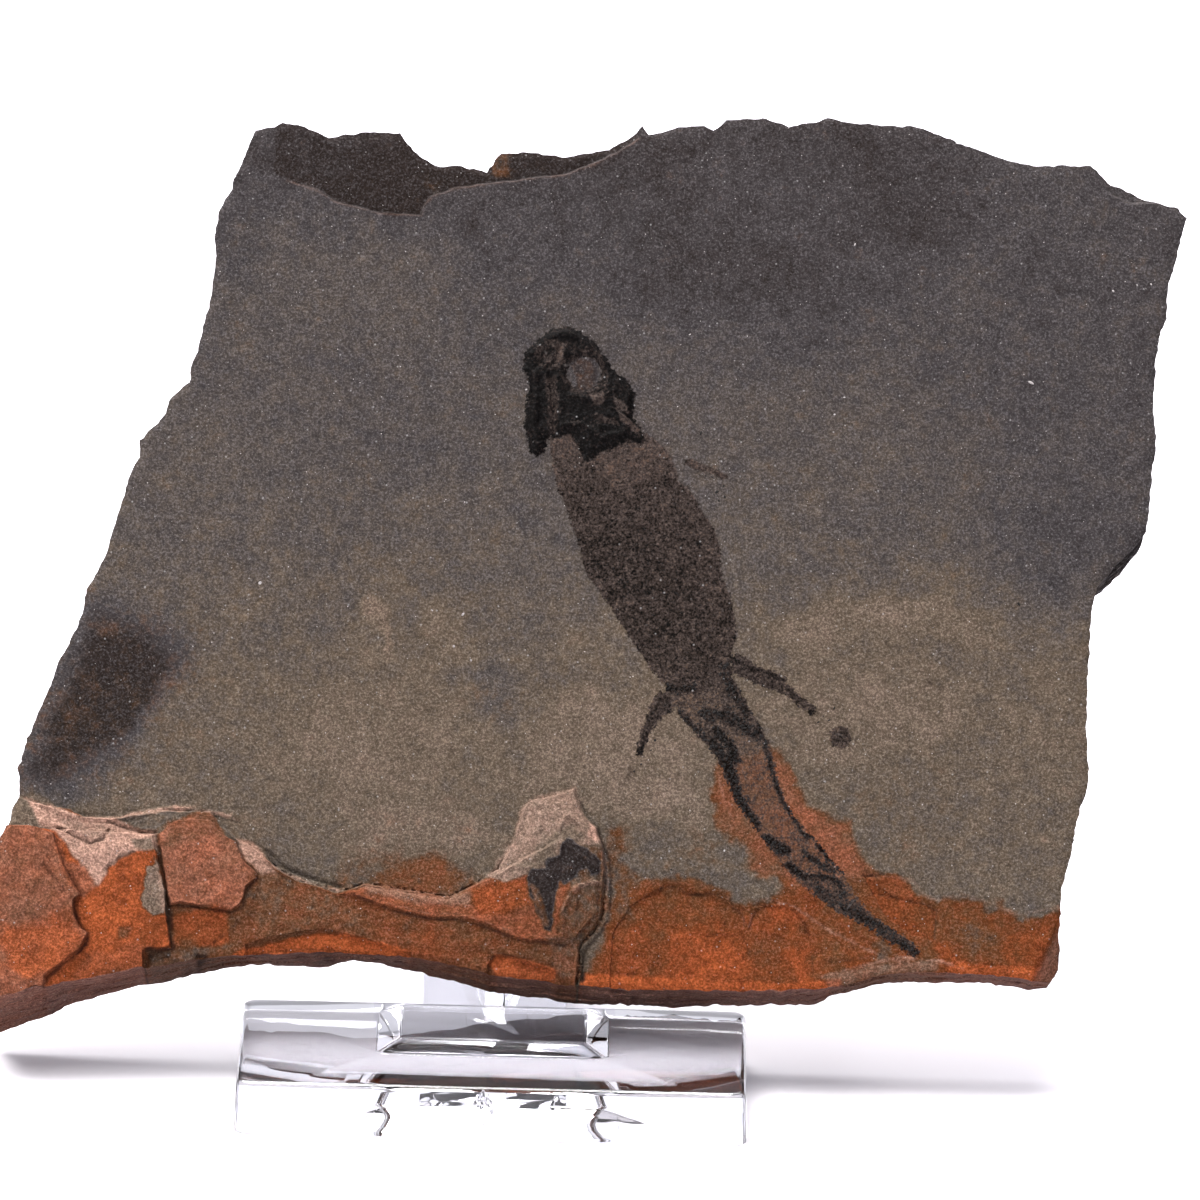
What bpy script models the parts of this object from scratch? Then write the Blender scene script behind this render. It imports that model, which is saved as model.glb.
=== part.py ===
"""A larval amphibian fossil on its broken shale slab, leaning in a clear two-piece plastic stand.

Metres, +Z up, the face looking towards -Y. The origin is the bottom centre of the whole display.
The slab and the fossil are drawn in millimetres in the plane of the slab's face: x to the right,
y downwards, on a sheet a little more upright than the face itself, and cast onto the face.
"""

import math
import random
from collections import namedtuple

import bmesh
import bpy
from mathutils import Vector, noise
from mathutils.geometry import delaunay_2d_cdt

MM = 0.001
GAP = 0.3  # clearance between touching pieces, in millimetres

# How the slab stands
SLAB_LEAN = math.radians(27)  # the face leans back this far from upright
SLAB_THICKNESS = 10.6
SHEET_TILT = math.radians(12)  # the drawing sheet is this much more upright than the face
SHEET_TURN = math.radians(1.5)  # and is turned this much clockwise
SHEET_CENTRE = (60.0, 60.0)

# The shale
FACE_SWELL = 0.22  # the bedding plane's gentle waves
SWELL_LENGTH = 26.0
BACK_SWELL = 0.3
OVERLAY_DIP = 0.055  # fall of the overlying bed per millimetre below DIP_START
DIP_START = 85.0
FACE_SPACING = 3.8
LEDGE_SPACING = 1.9
BACK_SPACING = 7.0
WALL_BEDS = (0.08, 0.3, 0.5, 0.76, 1.0)  # bedding planes round the broken edge, as parts of the thickness
BED_STEP = 0.015
BED_ROUGHNESS = 0.75  # how far the edges of the beds stand in and out
BED_WAVE = 7.0
BACK_INSET = 0.7
EDGE_WINDOW = 3.0  # the edge's direction is read this far either way

# The fossil, as thin inlays in shallow pockets
FILM_FLOOR = -0.6  # underside of every inlay, below the bedding plane
POCKET_FLOOR = FILM_FLOOR - GAP
POCKET_TOP = 3.0
FILM_RISE = 0.12
TAIL_RISE = 0.22
TAIL_CRUST = 0.12
SKULL_RISE = 0.3
SKULL_LUMPS = 0.28
SKULL_SHOULDER = 0.9
ORBIT_RADIUS = 1.7
ORBIT_CENTRE = (58.4, 37.3)
FOOT_CENTRE = (84.0, 73.7)
FOOT_RADIUS = 1.15

# The stand's front block
BLOCK_WIDTH = 50.8
BLOCK_DEPTH = 30.0
BLOCK_HEIGHT = 5.3
BLOCK_DRAFT = math.radians(2.4)
BLOCK_CORNER = 1.6
BLOCK_EDGE = 0.35
BLOCK_OFFSET = -9.5  # middle of the block, to the left of the drawing sheet's centre
SEAT_FROM_REAR = 0.6  # the slab's lowest edge stands this far in front of the block's rear
RECESS_WIDTH = 22.8
RECESS_DEPTH = 14.3
RECESS_HEIGHT = 3.7
RECESS_SLOPE = 2.15  # each wall of the recess leans in this far by its ceiling
RECESS_CORNER = 1.2
CUT_MARGIN = 1.0  # cutters run on past what they cut

# The stand's back rest
PLATE_WIDTH = 24.2
PLATE_THICKNESS = 2.4
PLATE_LENGTH = 40.0
PLATE_EDGE = 0.8  # the top edge is taken off this much
PLATE_LEAN = SLAB_LEAN - math.radians(0.8)
TONGUE_INSET = 0.35  # the tongue fills the recess but for this inset from its sloping walls
TAIL_FOOT_WIDTHS = (14.2, 6.4)
TAIL_FOOT_REACH = 46.0
RIB_THICKNESS = 2.0
RIB_HEIGHT = 30.0
RIB_REACH = 32.0
RIB_SINK = 1.0
RIB_CREST = 2.6
RIB_HEEL = 0.8  # the rib's rear end stands this far above the foot

EDGE_TOP = [
    (25.3, 12.6), (27.3, 12.4), (28.1, 11.9), (30.4, 12.3), (32.8, 13.3), (35.6, 13.3), (39.9, 12.9),
    (40.4, 13.7), (41.9, 15.2), (43.5, 16.0), (46.1, 16.2), (48.6, 16.8), (50.1, 15.1), (52.6, 14.8),
    (55.9, 15.3), (60.9, 14.5), (63.4, 13.0), (64.3, 12.2), (64.9, 13.2), (68.7, 12.3), (70.5, 12.2),
    (71.4, 12.7), (72.7, 11.7), (76.4, 11.4), (79.0, 12.3), (82.9, 11.6), (85.3, 11.9), (89.2, 12.3),
    (91.6, 12.5), (95.6, 13.8), (99.5, 15.3), (103.5, 16.4), (109.3, 16.3), (111.4, 18.1),
    (115.3, 19.8), (118.1, 20.6), (119.0, 21.6),
]
EDGE_RIGHT = [
    (118.5, 23.4), (116.9, 29.7), (115.8, 35.7), (115.5, 40.8), (115.8, 43.6), (114.9, 50.7),
    (114.7, 53.1), (113.9, 54.3), (112.2, 56.0), (109.6, 58.6), (109.2, 61.3), (108.8, 68.2),
    (108.6, 78.0), (107.0, 85.4), (106.2, 88.6), (105.8, 91.9), (105.7, 96.2), (104.8, 97.6),
]
EDGE_BOTTOM = [
    (103.0, 97.9), (98.8, 97.4), (91.9, 97.1), (88.2, 97.4), (84.5, 98.4), (82.5, 98.7), (74.3, 98.9),
    (64.1, 98.8), (57.1, 98.4), (52.0, 97.7), (49.0, 97.4), (44.9, 96.4), (40.8, 95.6), (36.7, 95.4),
    (32.0, 95.1), (28.6, 95.2), (20.4, 95.8), (14.3, 96.8), (6.1, 98.4), (0.0, 99.9),
]
EDGE_LEFT = [
    (-1.1, 99.6), (-1.5, 96.0), (-1.2, 88.5), (-0.6, 85.6), (1.0, 82.5), (2.0, 79.3), (1.8, 76.8),
    (3.5, 71.9), (6.5, 65.0), (8.2, 61.3), (8.6, 58.9), (10.3, 56.0), (11.9, 50.7), (12.8, 47.5),
    (13.8, 45.6), (13.9, 44.0), (16.4, 41.2), (17.0, 39.6), (19.0, 37.7), (19.8, 35.3), (21.1, 28.2),
    (21.5, 25.4), (21.2, 23.4), (21.7, 21.0), (23.1, 18.3), (23.9, 16.1),
]
# How far the broken bottom wall drops below the face's edge, as drawn, at places from left to right
WALL_DROPS = [
    (0.0, 3.5), (4.1, 3.1), (7.8, 2.2), (18.0, 1.9), (24.5, 1.0), (32.2, 1.9), (35.3, 0.8),
    (37.5, 1.0), (40.0, 1.6), (49.0, 1.9), (66.2, 2.0), (80.9, 1.8), (83.3, 1.1), (104.0, 1.3),
]

# Ledges of the face. The overlying bed has split off the face except at its lower left corner.
RECESS = [
    (27.2, 8.0), (27.2, 17.3), (29.3, 18.2), (31.2, 18.7), (33.6, 20.1), (38.0, 21.2), (42.1, 21.4),
    (42.4, 20.4), (43.1, 19.5), (45.9, 18.6), (51.4, 17.9), (56.5, 17.3), (59.3, 16.3), (62.0, 15.0),
    (64.0, 13.6), (64.0, 8.0),
]
CORNER_CHIP = [
    (109.2, 12.0), (109.3, 16.3), (110.2, 18.1), (111.4, 19.5), (113.4, 20.3), (116.9, 20.1),
    (118.5, 20.6), (122.0, 18.0),
]
CORNER_BEVEL = [
    (106.4, 90.8), (104.9, 93.6), (102.6, 98.1), (102.6, 104.0), (112.0, 104.0), (112.0, 90.8),
]
OVERLAY = [
    (-6.0, 80.2), (2.0, 79.6), (4.5, 80.4), (7.3, 80.8), (8.6, 81.6), (11.4, 81.8), (16.3, 81.0),
    (21.2, 81.1), (22.3, 82.6), (24.5, 84.2), (26.5, 85.2), (27.8, 86.8), (30.2, 88.0), (33.9, 89.1),
    (36.7, 88.2), (40.8, 88.9), (44.9, 89.5), (46.9, 88.6), (49.8, 86.8), (51.2, 84.2), (52.4, 80.5),
    (53.2, 79.9), (55.0, 79.6), (57.5, 78.7), (58.2, 81.1), (59.6, 82.6), (60.4, 84.8), (60.6, 87.3),
    (60.3, 91.5), (59.5, 92.9), (58.1, 94.4), (57.8, 98.0), (57.6, 104.0), (-6.0, 106.0),
]
FLAKE_MIDDLE = [
    (-6.0, 82.5), (6.0, 83.0), (15.5, 83.6), (16.1, 86.5), (16.8, 89.3), (16.9, 91.6), (17.4, 94.9),
    (14.6, 95.1), (14.6, 97.5), (14.0, 102.0), (-6.0, 106.0),
]
FLAKE_LEFT = [
    (-6.0, 82.5), (3.0, 82.3), (5.5, 83.8), (6.9, 87.7), (8.2, 89.7), (7.6, 90.4), (8.0, 92.0),
    (9.1, 93.6), (8.5, 94.9), (4.8, 98.2), (4.4, 103.0), (-6.0, 106.0),
]
FLAKE_RIGHT = [
    (15.9, 84.0), (20.0, 82.6), (22.2, 83.2), (23.8, 84.9), (24.4, 86.4), (25.7, 87.4), (24.9, 89.0),
    (24.3, 90.5), (23.3, 91.4), (18.3, 90.7), (17.2, 91.0),
]
SHELF = [
    (33.9, 89.4), (36.7, 88.6), (44.9, 89.9), (50.2, 87.0), (56.0, 84.0), (60.0, 86.5), (59.9, 91.3),
    (57.6, 94.0), (55.4, 94.1), (52.8, 94.3), (50.8, 93.7), (48.7, 92.6), (46.3, 92.0), (43.4, 92.0),
    (40.4, 91.4), (37.6, 90.5),
]
LOWER_STRIP = [
    (24.6, 94.4), (27.0, 93.6), (29.6, 93.1), (32.7, 92.8), (37.2, 94.0), (40.0, 94.9), (41.3, 95.2),
    (41.3, 100.0), (24.6, 100.0),
]
CORNER_STRIP = [
    (48.7, 96.5), (49.3, 95.5), (50.6, 95.4), (53.0, 96.1), (55.2, 96.8), (57.2, 97.7), (57.0, 103.0),
    (48.5, 103.0),
]
BAND_FLAKES = [
    (64.6, 89.4), (66.3, 88.4), (67.7, 88.4), (68.8, 89.1), (71.8, 89.3), (73.3, 90.6), (74.0, 90.8),
    (74.8, 92.5), (75.5, 90.6), (78.1, 90.4), (79.8, 91.3), (81.0, 93.2), (82.0, 104.0), (60.6, 104.0),
    (61.2, 93.2), (63.0, 90.4),
]
# A thin bed missing from the back, above the back rest
BACK_STEP = [
    (58.0, 4.0), (62.0, 20.0), (70.0, 34.0), (84.0, 41.0), (99.0, 60.0), (126.0, 66.0), (126.0, 4.0),
]
BACK_STEP_RISE = 1.0
BACK_STEP_SLOPE = 0.6

Layer = namedtuple("Layer", "outline rise slope")
LAYERS = [
    Layer(RECESS, -0.8, 0.5),
    Layer(CORNER_CHIP, -0.6, 0.5),
    Layer(CORNER_BEVEL, -3.2, 2.4),
    Layer(OVERLAY, 0.7, 0.4),
    Layer(OVERLAY, 0.5, 3.5),
    Layer(FLAKE_MIDDLE, 0.4, 0.3),
    Layer(FLAKE_LEFT, 0.5, 0.3),
    Layer(FLAKE_RIGHT, 0.25, 0.3),
    Layer(SHELF, 0.4, 0.4),
    Layer(LOWER_STRIP, -0.5, 0.4),
    Layer(CORNER_STRIP, -0.5, 0.4),
    Layer(BAND_FLAKES, -0.2, 0.3),
]
CREASED_SLOPE = 1.0  # a ledge narrower than this has its foot and its lip drawn on the mesh

SKULL = [
    (55.1, 32.8), (57.0, 32.6), (58.2, 33.2), (59.5, 34.2), (60.5, 35.6), (61.3, 36.9), (62.8, 38.0),
    (63.5, 39.2), (63.5, 40.3), (63.3, 41.5), (63.9, 42.6), (64.3, 43.5), (64.1, 44.2), (62.8, 43.9),
    (61.4, 44.7), (60.0, 45.0), (59.3, 45.7), (58.8, 45.9), (58.1, 44.5), (57.0, 43.2), (55.9, 43.5),
    (54.8, 43.8), (54.5, 45.4), (53.5, 45.6), (52.9, 45.1), (52.7, 43.8), (52.3, 42.5), (52.4, 41.5),
    (52.8, 38.9), (52.7, 37.7), (52.2, 37.0), (52.4, 35.2), (53.2, 34.4), (54.1, 33.6),
]
BODY = [
    (55.3, 46.6), (57.6, 46.6), (60.0, 46.6), (62.2, 45.7), (64.2, 45.1), (65.6, 44.8), (66.6, 44.6),
    (67.3, 46.0), (67.9, 48.0), (69.3, 49.3), (70.3, 51.2), (71.7, 53.4), (72.2, 55.6), (72.2, 57.7),
    (73.0, 59.5), (73.7, 62.4), (73.5, 64.2), (73.1, 65.9), (73.3, 67.6), (74.1, 69.3), (75.0, 71.0),
    (76.1, 72.5), (77.0, 74.2), (77.5, 76.3), (78.0, 78.8), (79.2, 81.5), (81.0, 83.4), (82.1, 84.7),
    (83.0, 85.8), (84.4, 87.4), (86.1, 90.1), (88.2, 92.0), (91.1, 93.9), (92.0, 95.0), (91.4, 95.7),
    (88.4, 94.0), (86.1, 92.4), (83.5, 91.2), (80.7, 89.0), (79.0, 87.6), (77.4, 85.4), (75.2, 82.5),
    (73.6, 80.2), (72.7, 78.2), (72.0, 76.6), (71.0, 75.0), (69.4, 73.2), (68.6, 72.1), (67.7, 71.3),
    (67.4, 69.7), (66.4, 68.4), (65.0, 66.8), (63.8, 65.0), (62.2, 62.6), (60.4, 59.8), (58.6, 57.4),
    (58.0, 54.8), (57.2, 52.6), (56.5, 50.6), (55.7, 48.8),
]
TAIL_START = 74.0  # the tail's crust thickens below this line of the drawing
TAIL_FULL = 84.0
LEFT_HIND_LEG = [(66.4, 69.3), (65.6, 70.4), (64.8, 72.4), (64.3, 74.1), (63.8, 75.6)]
LEFT_HIND_LEG_WIDTHS = (1.3, 0.7)
RIGHT_HIND_LEG = [(74.3, 66.9), (76.0, 67.4), (78.0, 68.4), (79.6, 69.8), (81.4, 71.2)]
RIGHT_HIND_LEG_WIDTHS = (1.6, 0.9)
FORELEG = [(68.5, 46.1), (69.9, 46.7), (71.2, 47.1), (72.6, 47.7)]
FORELEG_WIDTHS = (0.9, 0.6)


def clear_scene():
    for obj in list(bpy.data.objects):
        bpy.data.objects.remove(obj, do_unlink=True)


def material(name, colour, roughness, transmission=0.0, ior=1.5):
    """A Principled material, see-through where transmission is set."""
    made = bpy.data.materials.new(name)
    made.use_nodes = True
    made.diffuse_color = (*colour, 1.0)
    shader = made.node_tree.nodes["Principled BSDF"]
    shader.inputs["Base Color"].default_value = (*colour, 1.0)
    shader.inputs["Roughness"].default_value = roughness
    shader.inputs["Metallic"].default_value = 0.0
    shader.inputs["Transmission Weight"].default_value = transmission
    shader.inputs["IOR"].default_value = ior
    return made


def add_object(name, shape, finish, parent):
    """Makes the named object from a bmesh, with its one material, under its parent."""
    mesh = bpy.data.meshes.new(name)
    bmesh.ops.recalc_face_normals(shape, faces=shape.faces[:])
    shape.to_mesh(mesh)
    shape.free()
    mesh.materials.append(finish)
    obj = bpy.data.objects.new(name, mesh)
    bpy.context.scene.collection.objects.link(obj)
    obj.parent = parent
    return obj


def add_cutter(name, shape, parent, target, operation="DIFFERENCE"):
    """A hidden helper that the target is cut by, or joined with."""
    mesh = bpy.data.meshes.new(name)
    bmesh.ops.recalc_face_normals(shape, faces=shape.faces[:])
    shape.to_mesh(mesh)
    shape.free()
    cutter = bpy.data.objects.new(name, mesh)
    bpy.context.scene.collection.objects.link(cutter)
    cutter.parent = parent
    cutter.hide_render = True
    cutter.display_type = "WIRE"
    change = target.modifiers.new(name, "BOOLEAN")
    change.operation = operation
    change.solver = "EXACT"
    change.object = cutter
    return cutter


# Outlines in the plane of the face


def on_face(x, y):
    """The place on the face, in millimetres from its centre, under a point of the drawing."""
    right = x - SHEET_CENTRE[0]
    down = y - SHEET_CENTRE[1]
    across = right * math.cos(SHEET_TURN) + down * math.sin(SHEET_TURN)
    up = right * math.sin(SHEET_TURN) - down * math.cos(SHEET_TURN)
    return Vector((across, up / math.cos(SHEET_TILT)))


def cast(outline):
    return [on_face(x, y) for x, y in outline]


def signed_distance(point, outline):
    """Distance from a closed outline, positive inside it."""
    nearest = math.inf
    inside = False
    for start, end in zip(outline, outline[1:] + outline[:1]):
        run = end - start
        along = (point - start).dot(run) / max(run.length_squared, 1e-12)
        foot = start + run * min(max(along, 0.0), 1.0)
        nearest = min(nearest, (point - foot).length)
        crosses = (start.y > point.y) != (end.y > point.y)
        if crosses and point.x < start.x + run.x * (point.y - start.y) / run.y:
            inside = not inside
    return nearest if inside else -nearest


def turns_left(outline):
    pairs = zip(outline, outline[1:] + outline[:1])
    return sum(a.x * b.y - b.x * a.y for a, b in pairs) > 0


def offset_outline(outline, distance):
    """The outline moved outwards by the distance, with its corners mitred."""
    side = 1.0 if turns_left(outline) else -1.0
    moved = []
    for i, point in enumerate(outline):
        before = (point - outline[i - 1]).normalized()
        after = (outline[(i + 1) % len(outline)] - point).normalized()
        normal = Vector((before.y + after.y, -before.x - after.x)) * side
        normal.normalize()
        spread = max(normal.dot(Vector((after.y, -after.x)) * side), 0.5)
        moved.append(point + normal * distance / spread)
    return moved


def ribbon(route, widths):
    """A tapering strip along a route, as a closed outline."""
    points = cast(route)
    last = len(points) - 1
    sides = ([], [])
    for i, point in enumerate(points):
        run = (points[min(i + 1, last)] - points[max(i - 1, 0)]).normalized()
        half = 0.5 * (widths[0] + (widths[1] - widths[0]) * i / last)
        sides[0].append(point + Vector((-run.y, run.x)) * half)
        sides[1].append(point - Vector((-run.y, run.x)) * half)
    tip = points[-1] + (points[-1] - points[-2]).normalized() * widths[1] * 0.5
    return sides[0] + [tip] + sides[1][::-1]


def circle(centre, radius, count):
    middle = on_face(*centre)
    turns = [2 * math.pi * i / count for i in range(count)]
    return [middle + Vector((math.cos(t), math.sin(t))) * radius for t in turns]


# Sheets of triangles over an outline


def scatter(outline, spacing, kept_clear, rng):
    """A jittered triangular grid inside the outline, away from the points already placed."""
    lows = [min(p[axis] for p in outline) for axis in (0, 1)]
    highs = [max(p[axis] for p in outline) for axis in (0, 1)]
    rise = spacing * math.sqrt(3) / 2
    grid = []
    for row in range(int((highs[1] - lows[1]) / rise) + 1):
        for column in range(int((highs[0] - lows[0]) / spacing) + 1):
            x = lows[0] + (column + 0.5 * (row % 2)) * spacing + rng.uniform(-0.2, 0.2) * spacing
            y = lows[1] + row * rise + rng.uniform(-0.2, 0.2) * spacing
            point = Vector((x, y))
            if signed_distance(point, outline) < 0.45 * spacing:
                continue
            if all((point - other).length > 0.55 * spacing for other in kept_clear):
                grid.append(point)
    return grid


def triangulate(outlines, lines, points):
    """Triangles inside the first outline and outside the others, with edges along the closed lines."""
    places = []
    edges = []
    for chain in outlines + lines:
        first = len(places)
        places.extend(chain)
        count = len(chain)
        edges.extend((first + i, first + (i + 1) % count) for i in range(count))
    places.extend(points)
    found, _, triangles, *_ = delaunay_2d_cdt(places, edges, [], 0, 1e-4)
    kept = []
    for triangle in triangles:
        middle = (found[triangle[0]] + found[triangle[1]] + found[triangle[2]]) / 3
        if signed_distance(middle, outlines[0]) <= 0:
            continue
        if any(signed_distance(middle, hole) > 0 for hole in outlines[1:]):
            continue
        kept.append(tuple(triangle))
    return found, kept


def boundary_loops(triangles):
    """The closed loops of corner numbers round a sheet, each turning with the sheet on its left."""
    directed = {(t[i], t[(i + 1) % 3]) for t in triangles for i in range(3)}
    following = {a: b for a, b in directed if (b, a) not in directed}
    loops = []
    while following:
        start, here = following.popitem()
        loop = [start]
        while here != start:
            loop.append(here)
            here = following.pop(here)
        loops.append(loop)
    return loops


def to_metres(place, height):
    return (place.x * MM, place.y * MM, height * MM)


def inlay_shape(outlines, spacing, top, seed):
    """A thin closed plate whose top follows a height function and whose underside is flat."""
    rng = random.Random(seed)
    rims = [point for outline in outlines for point in outline]
    inner = scatter(outlines[0], spacing, rims, rng)
    places, triangles = triangulate(outlines, [], inner)
    shape = bmesh.new()
    used = sorted({corner for triangle in triangles for corner in triangle})
    upper = {i: shape.verts.new(to_metres(places[i], top(places[i]))) for i in used}
    lower = {i: shape.verts.new(to_metres(places[i], FILM_FLOOR)) for i in used}
    for a, b, c in triangles:
        shape.faces.new((upper[a], upper[b], upper[c]))
        shape.faces.new((lower[c], lower[b], lower[a]))
    for loop in boundary_loops(triangles):
        for a, b in zip(loop, loop[1:] + loop[:1]):
            shape.faces.new((upper[b], upper[a], lower[a], lower[b]))
    return shape


# The shale slab

OUTLINE = cast(EDGE_TOP + EDGE_RIGHT + EDGE_BOTTOM + EDGE_LEFT)
CAST_LAYERS = [layer._replace(outline=cast(layer.outline)) for layer in LAYERS]
CAST_OVERLAY = cast(OVERLAY)
CAST_BACK_STEP = cast(BACK_STEP)
BOTTOM_LINE = on_face(SHEET_CENTRE[0], 94.0).y
# Every bed has a ring of corners along its top and one along its foot: (depth, bed)
WALL_LEVELS = [
    level for bed, (top, foot) in enumerate(zip(WALL_BEDS, WALL_BEDS[1:]))
    for level in ((top + BED_STEP, bed), (foot, bed))
]


def ramp(value):
    return min(max(value, 0.0), 1.0)


def wave(place, length, channel=0.0):
    return noise.noise(Vector((place.x / length, place.y / length, channel)))


def relief(place):
    """Height of the face at a place, in millimetres above the bedding plane."""
    height = FACE_SWELL * wave(place, SWELL_LENGTH)
    for layer in CAST_LAYERS:
        height += layer.rise * ramp(signed_distance(place, layer.outline) / layer.slope)
    if signed_distance(place, CAST_OVERLAY) > 0:
        height -= OVERLAY_DIP * max(on_face(SHEET_CENTRE[0], DIP_START).y - place.y, 0.0)
    return height


def back_height(place):
    height = -SLAB_THICKNESS + BACK_SWELL * wave(place, SWELL_LENGTH, 5.0)
    return height + BACK_STEP_RISE * ramp(signed_distance(place, CAST_BACK_STEP) / BACK_STEP_SLOPE)


def wall_drop(across):
    """How much further down the face's plane the bottom wall ends than the face does."""
    stations = [(on_face(x, 97.0).x, drop) for x, drop in WALL_DROPS]
    drop = stations[0][1] if across < stations[0][0] else stations[-1][1]
    for (x0, d0), (x1, d1) in zip(stations, stations[1:]):
        if x0 <= across < x1:
            drop = d0 + (d1 - d0) * (across - x0) / (x1 - x0)
    return drop / math.cos(SHEET_TILT) - SLAB_THICKNESS * math.tan(SHEET_TILT)


def far_along(loop, start, step):
    """The loop's first corner more than EDGE_WINDOW from the start, walking in steps of 1 or -1."""
    i = start
    while (loop[i] - loop[start]).length < EDGE_WINDOW:
        i = (i + step) % len(loop)
    return loop[i]


def wall_rings(loop):
    """Rings of places round the broken edge, from just under the face to the back."""
    rings = []
    for level, bed in WALL_LEVELS:
        ring = []
        for i, place in enumerate(loop):
            run = (far_along(loop, i, 1) - far_along(loop, i, -1)).normalized()
            outward = Vector((run.y, -run.x))
            stand = BED_ROUGHNESS * wave(place, BED_WAVE, 3.0 * bed)
            if place.y < BOTTOM_LINE and outward.y < -0.5:
                shift = Vector((0.0, -wall_drop(place.x) * level)) + outward * 0.5 * stand
            else:
                shift = outward * (stand - BACK_INSET * level)
            ring.append(place + shift)
        rings.append(ring)
    return rings


def slab_shape():
    rng = random.Random(3)
    creases = []
    for layer in CAST_LAYERS:
        if layer.slope < CREASED_SLOPE:
            creases += [layer.outline, offset_outline(layer.outline, -layer.slope)]
    drawn = OUTLINE + [point for line in creases for point in line]
    ledges = scatter(CAST_OVERLAY, LEDGE_SPACING, drawn, rng)
    ledges = [point for point in ledges if signed_distance(point, OUTLINE) > 0.8]
    plain = scatter(OUTLINE, FACE_SPACING, drawn + ledges, rng)
    places, triangles = triangulate([OUTLINE], creases, ledges + plain)
    shape = bmesh.new()
    used = sorted({corner for triangle in triangles for corner in triangle})
    heights = {i: relief(places[i]) for i in used}
    face = {i: shape.verts.new(to_metres(places[i], heights[i])) for i in used}
    for triangle in triangles:
        shape.faces.new([face[i] for i in triangle])
    (loop,) = boundary_loops(triangles)
    upper = [face[i] for i in loop]
    rings = wall_rings([places[i] for i in loop])
    for (level, _), ring in zip(WALL_LEVELS, rings):
        lower = []
        for i, place in zip(loop, ring):
            height = heights[i] + (back_height(place) - heights[i]) * level
            lower.append(shape.verts.new(to_metres(place, height)))
        for k in range(len(loop)):
            shape.faces.new((upper[k], upper[k - 1], lower[k - 1], lower[k]))
        upper = lower
    inner = scatter(rings[-1], BACK_SPACING, [], rng)
    back_places, back_triangles = triangulate([rings[-1]], [], inner)
    count = len(loop)
    for place in back_places[count:]:
        upper.append(shape.verts.new(to_metres(place, back_height(place))))
    for a, b, c in back_triangles:
        shape.faces.new((upper[c], upper[b], upper[a]))
    return shape


def prism(outline, low, high):
    """An outline extruded between two heights above the bedding plane."""
    shape = bmesh.new()
    floor = shape.faces.new([shape.verts.new(to_metres(p, low)) for p in outline])
    raised = bmesh.ops.extrude_face_region(shape, geom=[floor])["geom"]
    corners = [item for item in raised if isinstance(item, bmesh.types.BMVert)]
    bmesh.ops.translate(shape, verts=corners, vec=(0, 0, (high - low) * MM))
    return shape


# The fossil


def skull_top(place):
    lumps = 0.6 * wave(place, 2.1, 2.0) + 0.4 * wave(place, 1.1, 3.0)
    crown = ramp(signed_distance(place, SKULL_OUTLINE) / SKULL_SHOULDER)
    return relief(place) + 0.1 + crown * (SKULL_RISE + SKULL_LUMPS * lumps)


def body_top(place):
    below = SHEET_CENTRE[1] - place.y
    tail = ramp((below - TAIL_START) / (TAIL_FULL - TAIL_START))
    crust = TAIL_CRUST * tail * wave(place, 1.6, 4.0)
    return relief(place) + FILM_RISE + (TAIL_RISE - FILM_RISE) * tail + crust


def film_top(place):
    return relief(place) + FILM_RISE


BONE = (0.03, 0.026, 0.024)
FILM = (0.05, 0.035, 0.028)
FAINT_FILM = (0.07, 0.055, 0.045)
SKULL_OUTLINE = cast(SKULL)
ORBIT = circle(ORBIT_CENTRE, ORBIT_RADIUS, 14)
LEFT_HIND_STRIP = ribbon(LEFT_HIND_LEG, LEFT_HIND_LEG_WIDTHS)
RIGHT_HIND_STRIP = ribbon(RIGHT_HIND_LEG, RIGHT_HIND_LEG_WIDTHS)
Inlay = namedtuple("Inlay", "name outlines spacing top colour")
INLAYS = [
    Inlay("skull", [SKULL_OUTLINE, ORBIT], 0.9, skull_top, BONE),
    Inlay("body", [cast(BODY)], 1.5, body_top, FILM),
    Inlay("left_hind_leg", [LEFT_HIND_STRIP], 1.0, film_top, FILM),
    Inlay("right_hind_leg", [RIGHT_HIND_STRIP], 1.0, film_top, FILM),
    Inlay("right_hind_foot", [circle(FOOT_CENTRE, FOOT_RADIUS, 16)], 0.8, film_top, FILM),
    Inlay("foreleg", [ribbon(FORELEG, FORELEG_WIDTHS)], 1.0, film_top, FAINT_FILM),
]


def build_slab(parent):
    slab = add_object("slab", slab_shape(), material("shale", (0.17, 0.145, 0.12), 0.92), parent)
    for inlay in INLAYS:
        pocket = offset_outline(inlay.outlines[0], GAP)
        shape = prism(pocket, POCKET_FLOOR, POCKET_TOP)
        cutter = add_cutter(inlay.name + "_pocket", shape, parent, slab)
        if len(inlay.outlines) > 1:
            hole = offset_outline(inlay.outlines[1], -GAP)
            island = prism(hole, POCKET_FLOOR - 1.0, POCKET_TOP + 1.0)
            add_cutter(inlay.name + "_island", island, parent, cutter)
    return slab


def build_fossil(parent):
    for seed, inlay in enumerate(INLAYS, start=11):
        shape = inlay_shape(inlay.outlines, inlay.spacing, inlay.top, seed)
        add_object(inlay.name, shape, material(inlay.name + "_film", inlay.colour, 0.6), parent)


# The stand


def loft(rings):
    """A closed solid through rings of equal count, each a list of (x, y, z) in millimetres."""
    shape = bmesh.new()
    made = [[shape.verts.new(Vector(point) * MM) for point in ring] for ring in rings]
    count = len(made[0])
    for lower, upper in zip(made, made[1:]):
        for i in range(count):
            shape.faces.new((lower[i - 1], lower[i], upper[i], upper[i - 1]))
    shape.faces.new(made[0][::-1])
    shape.faces.new(made[-1])
    return shape


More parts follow.
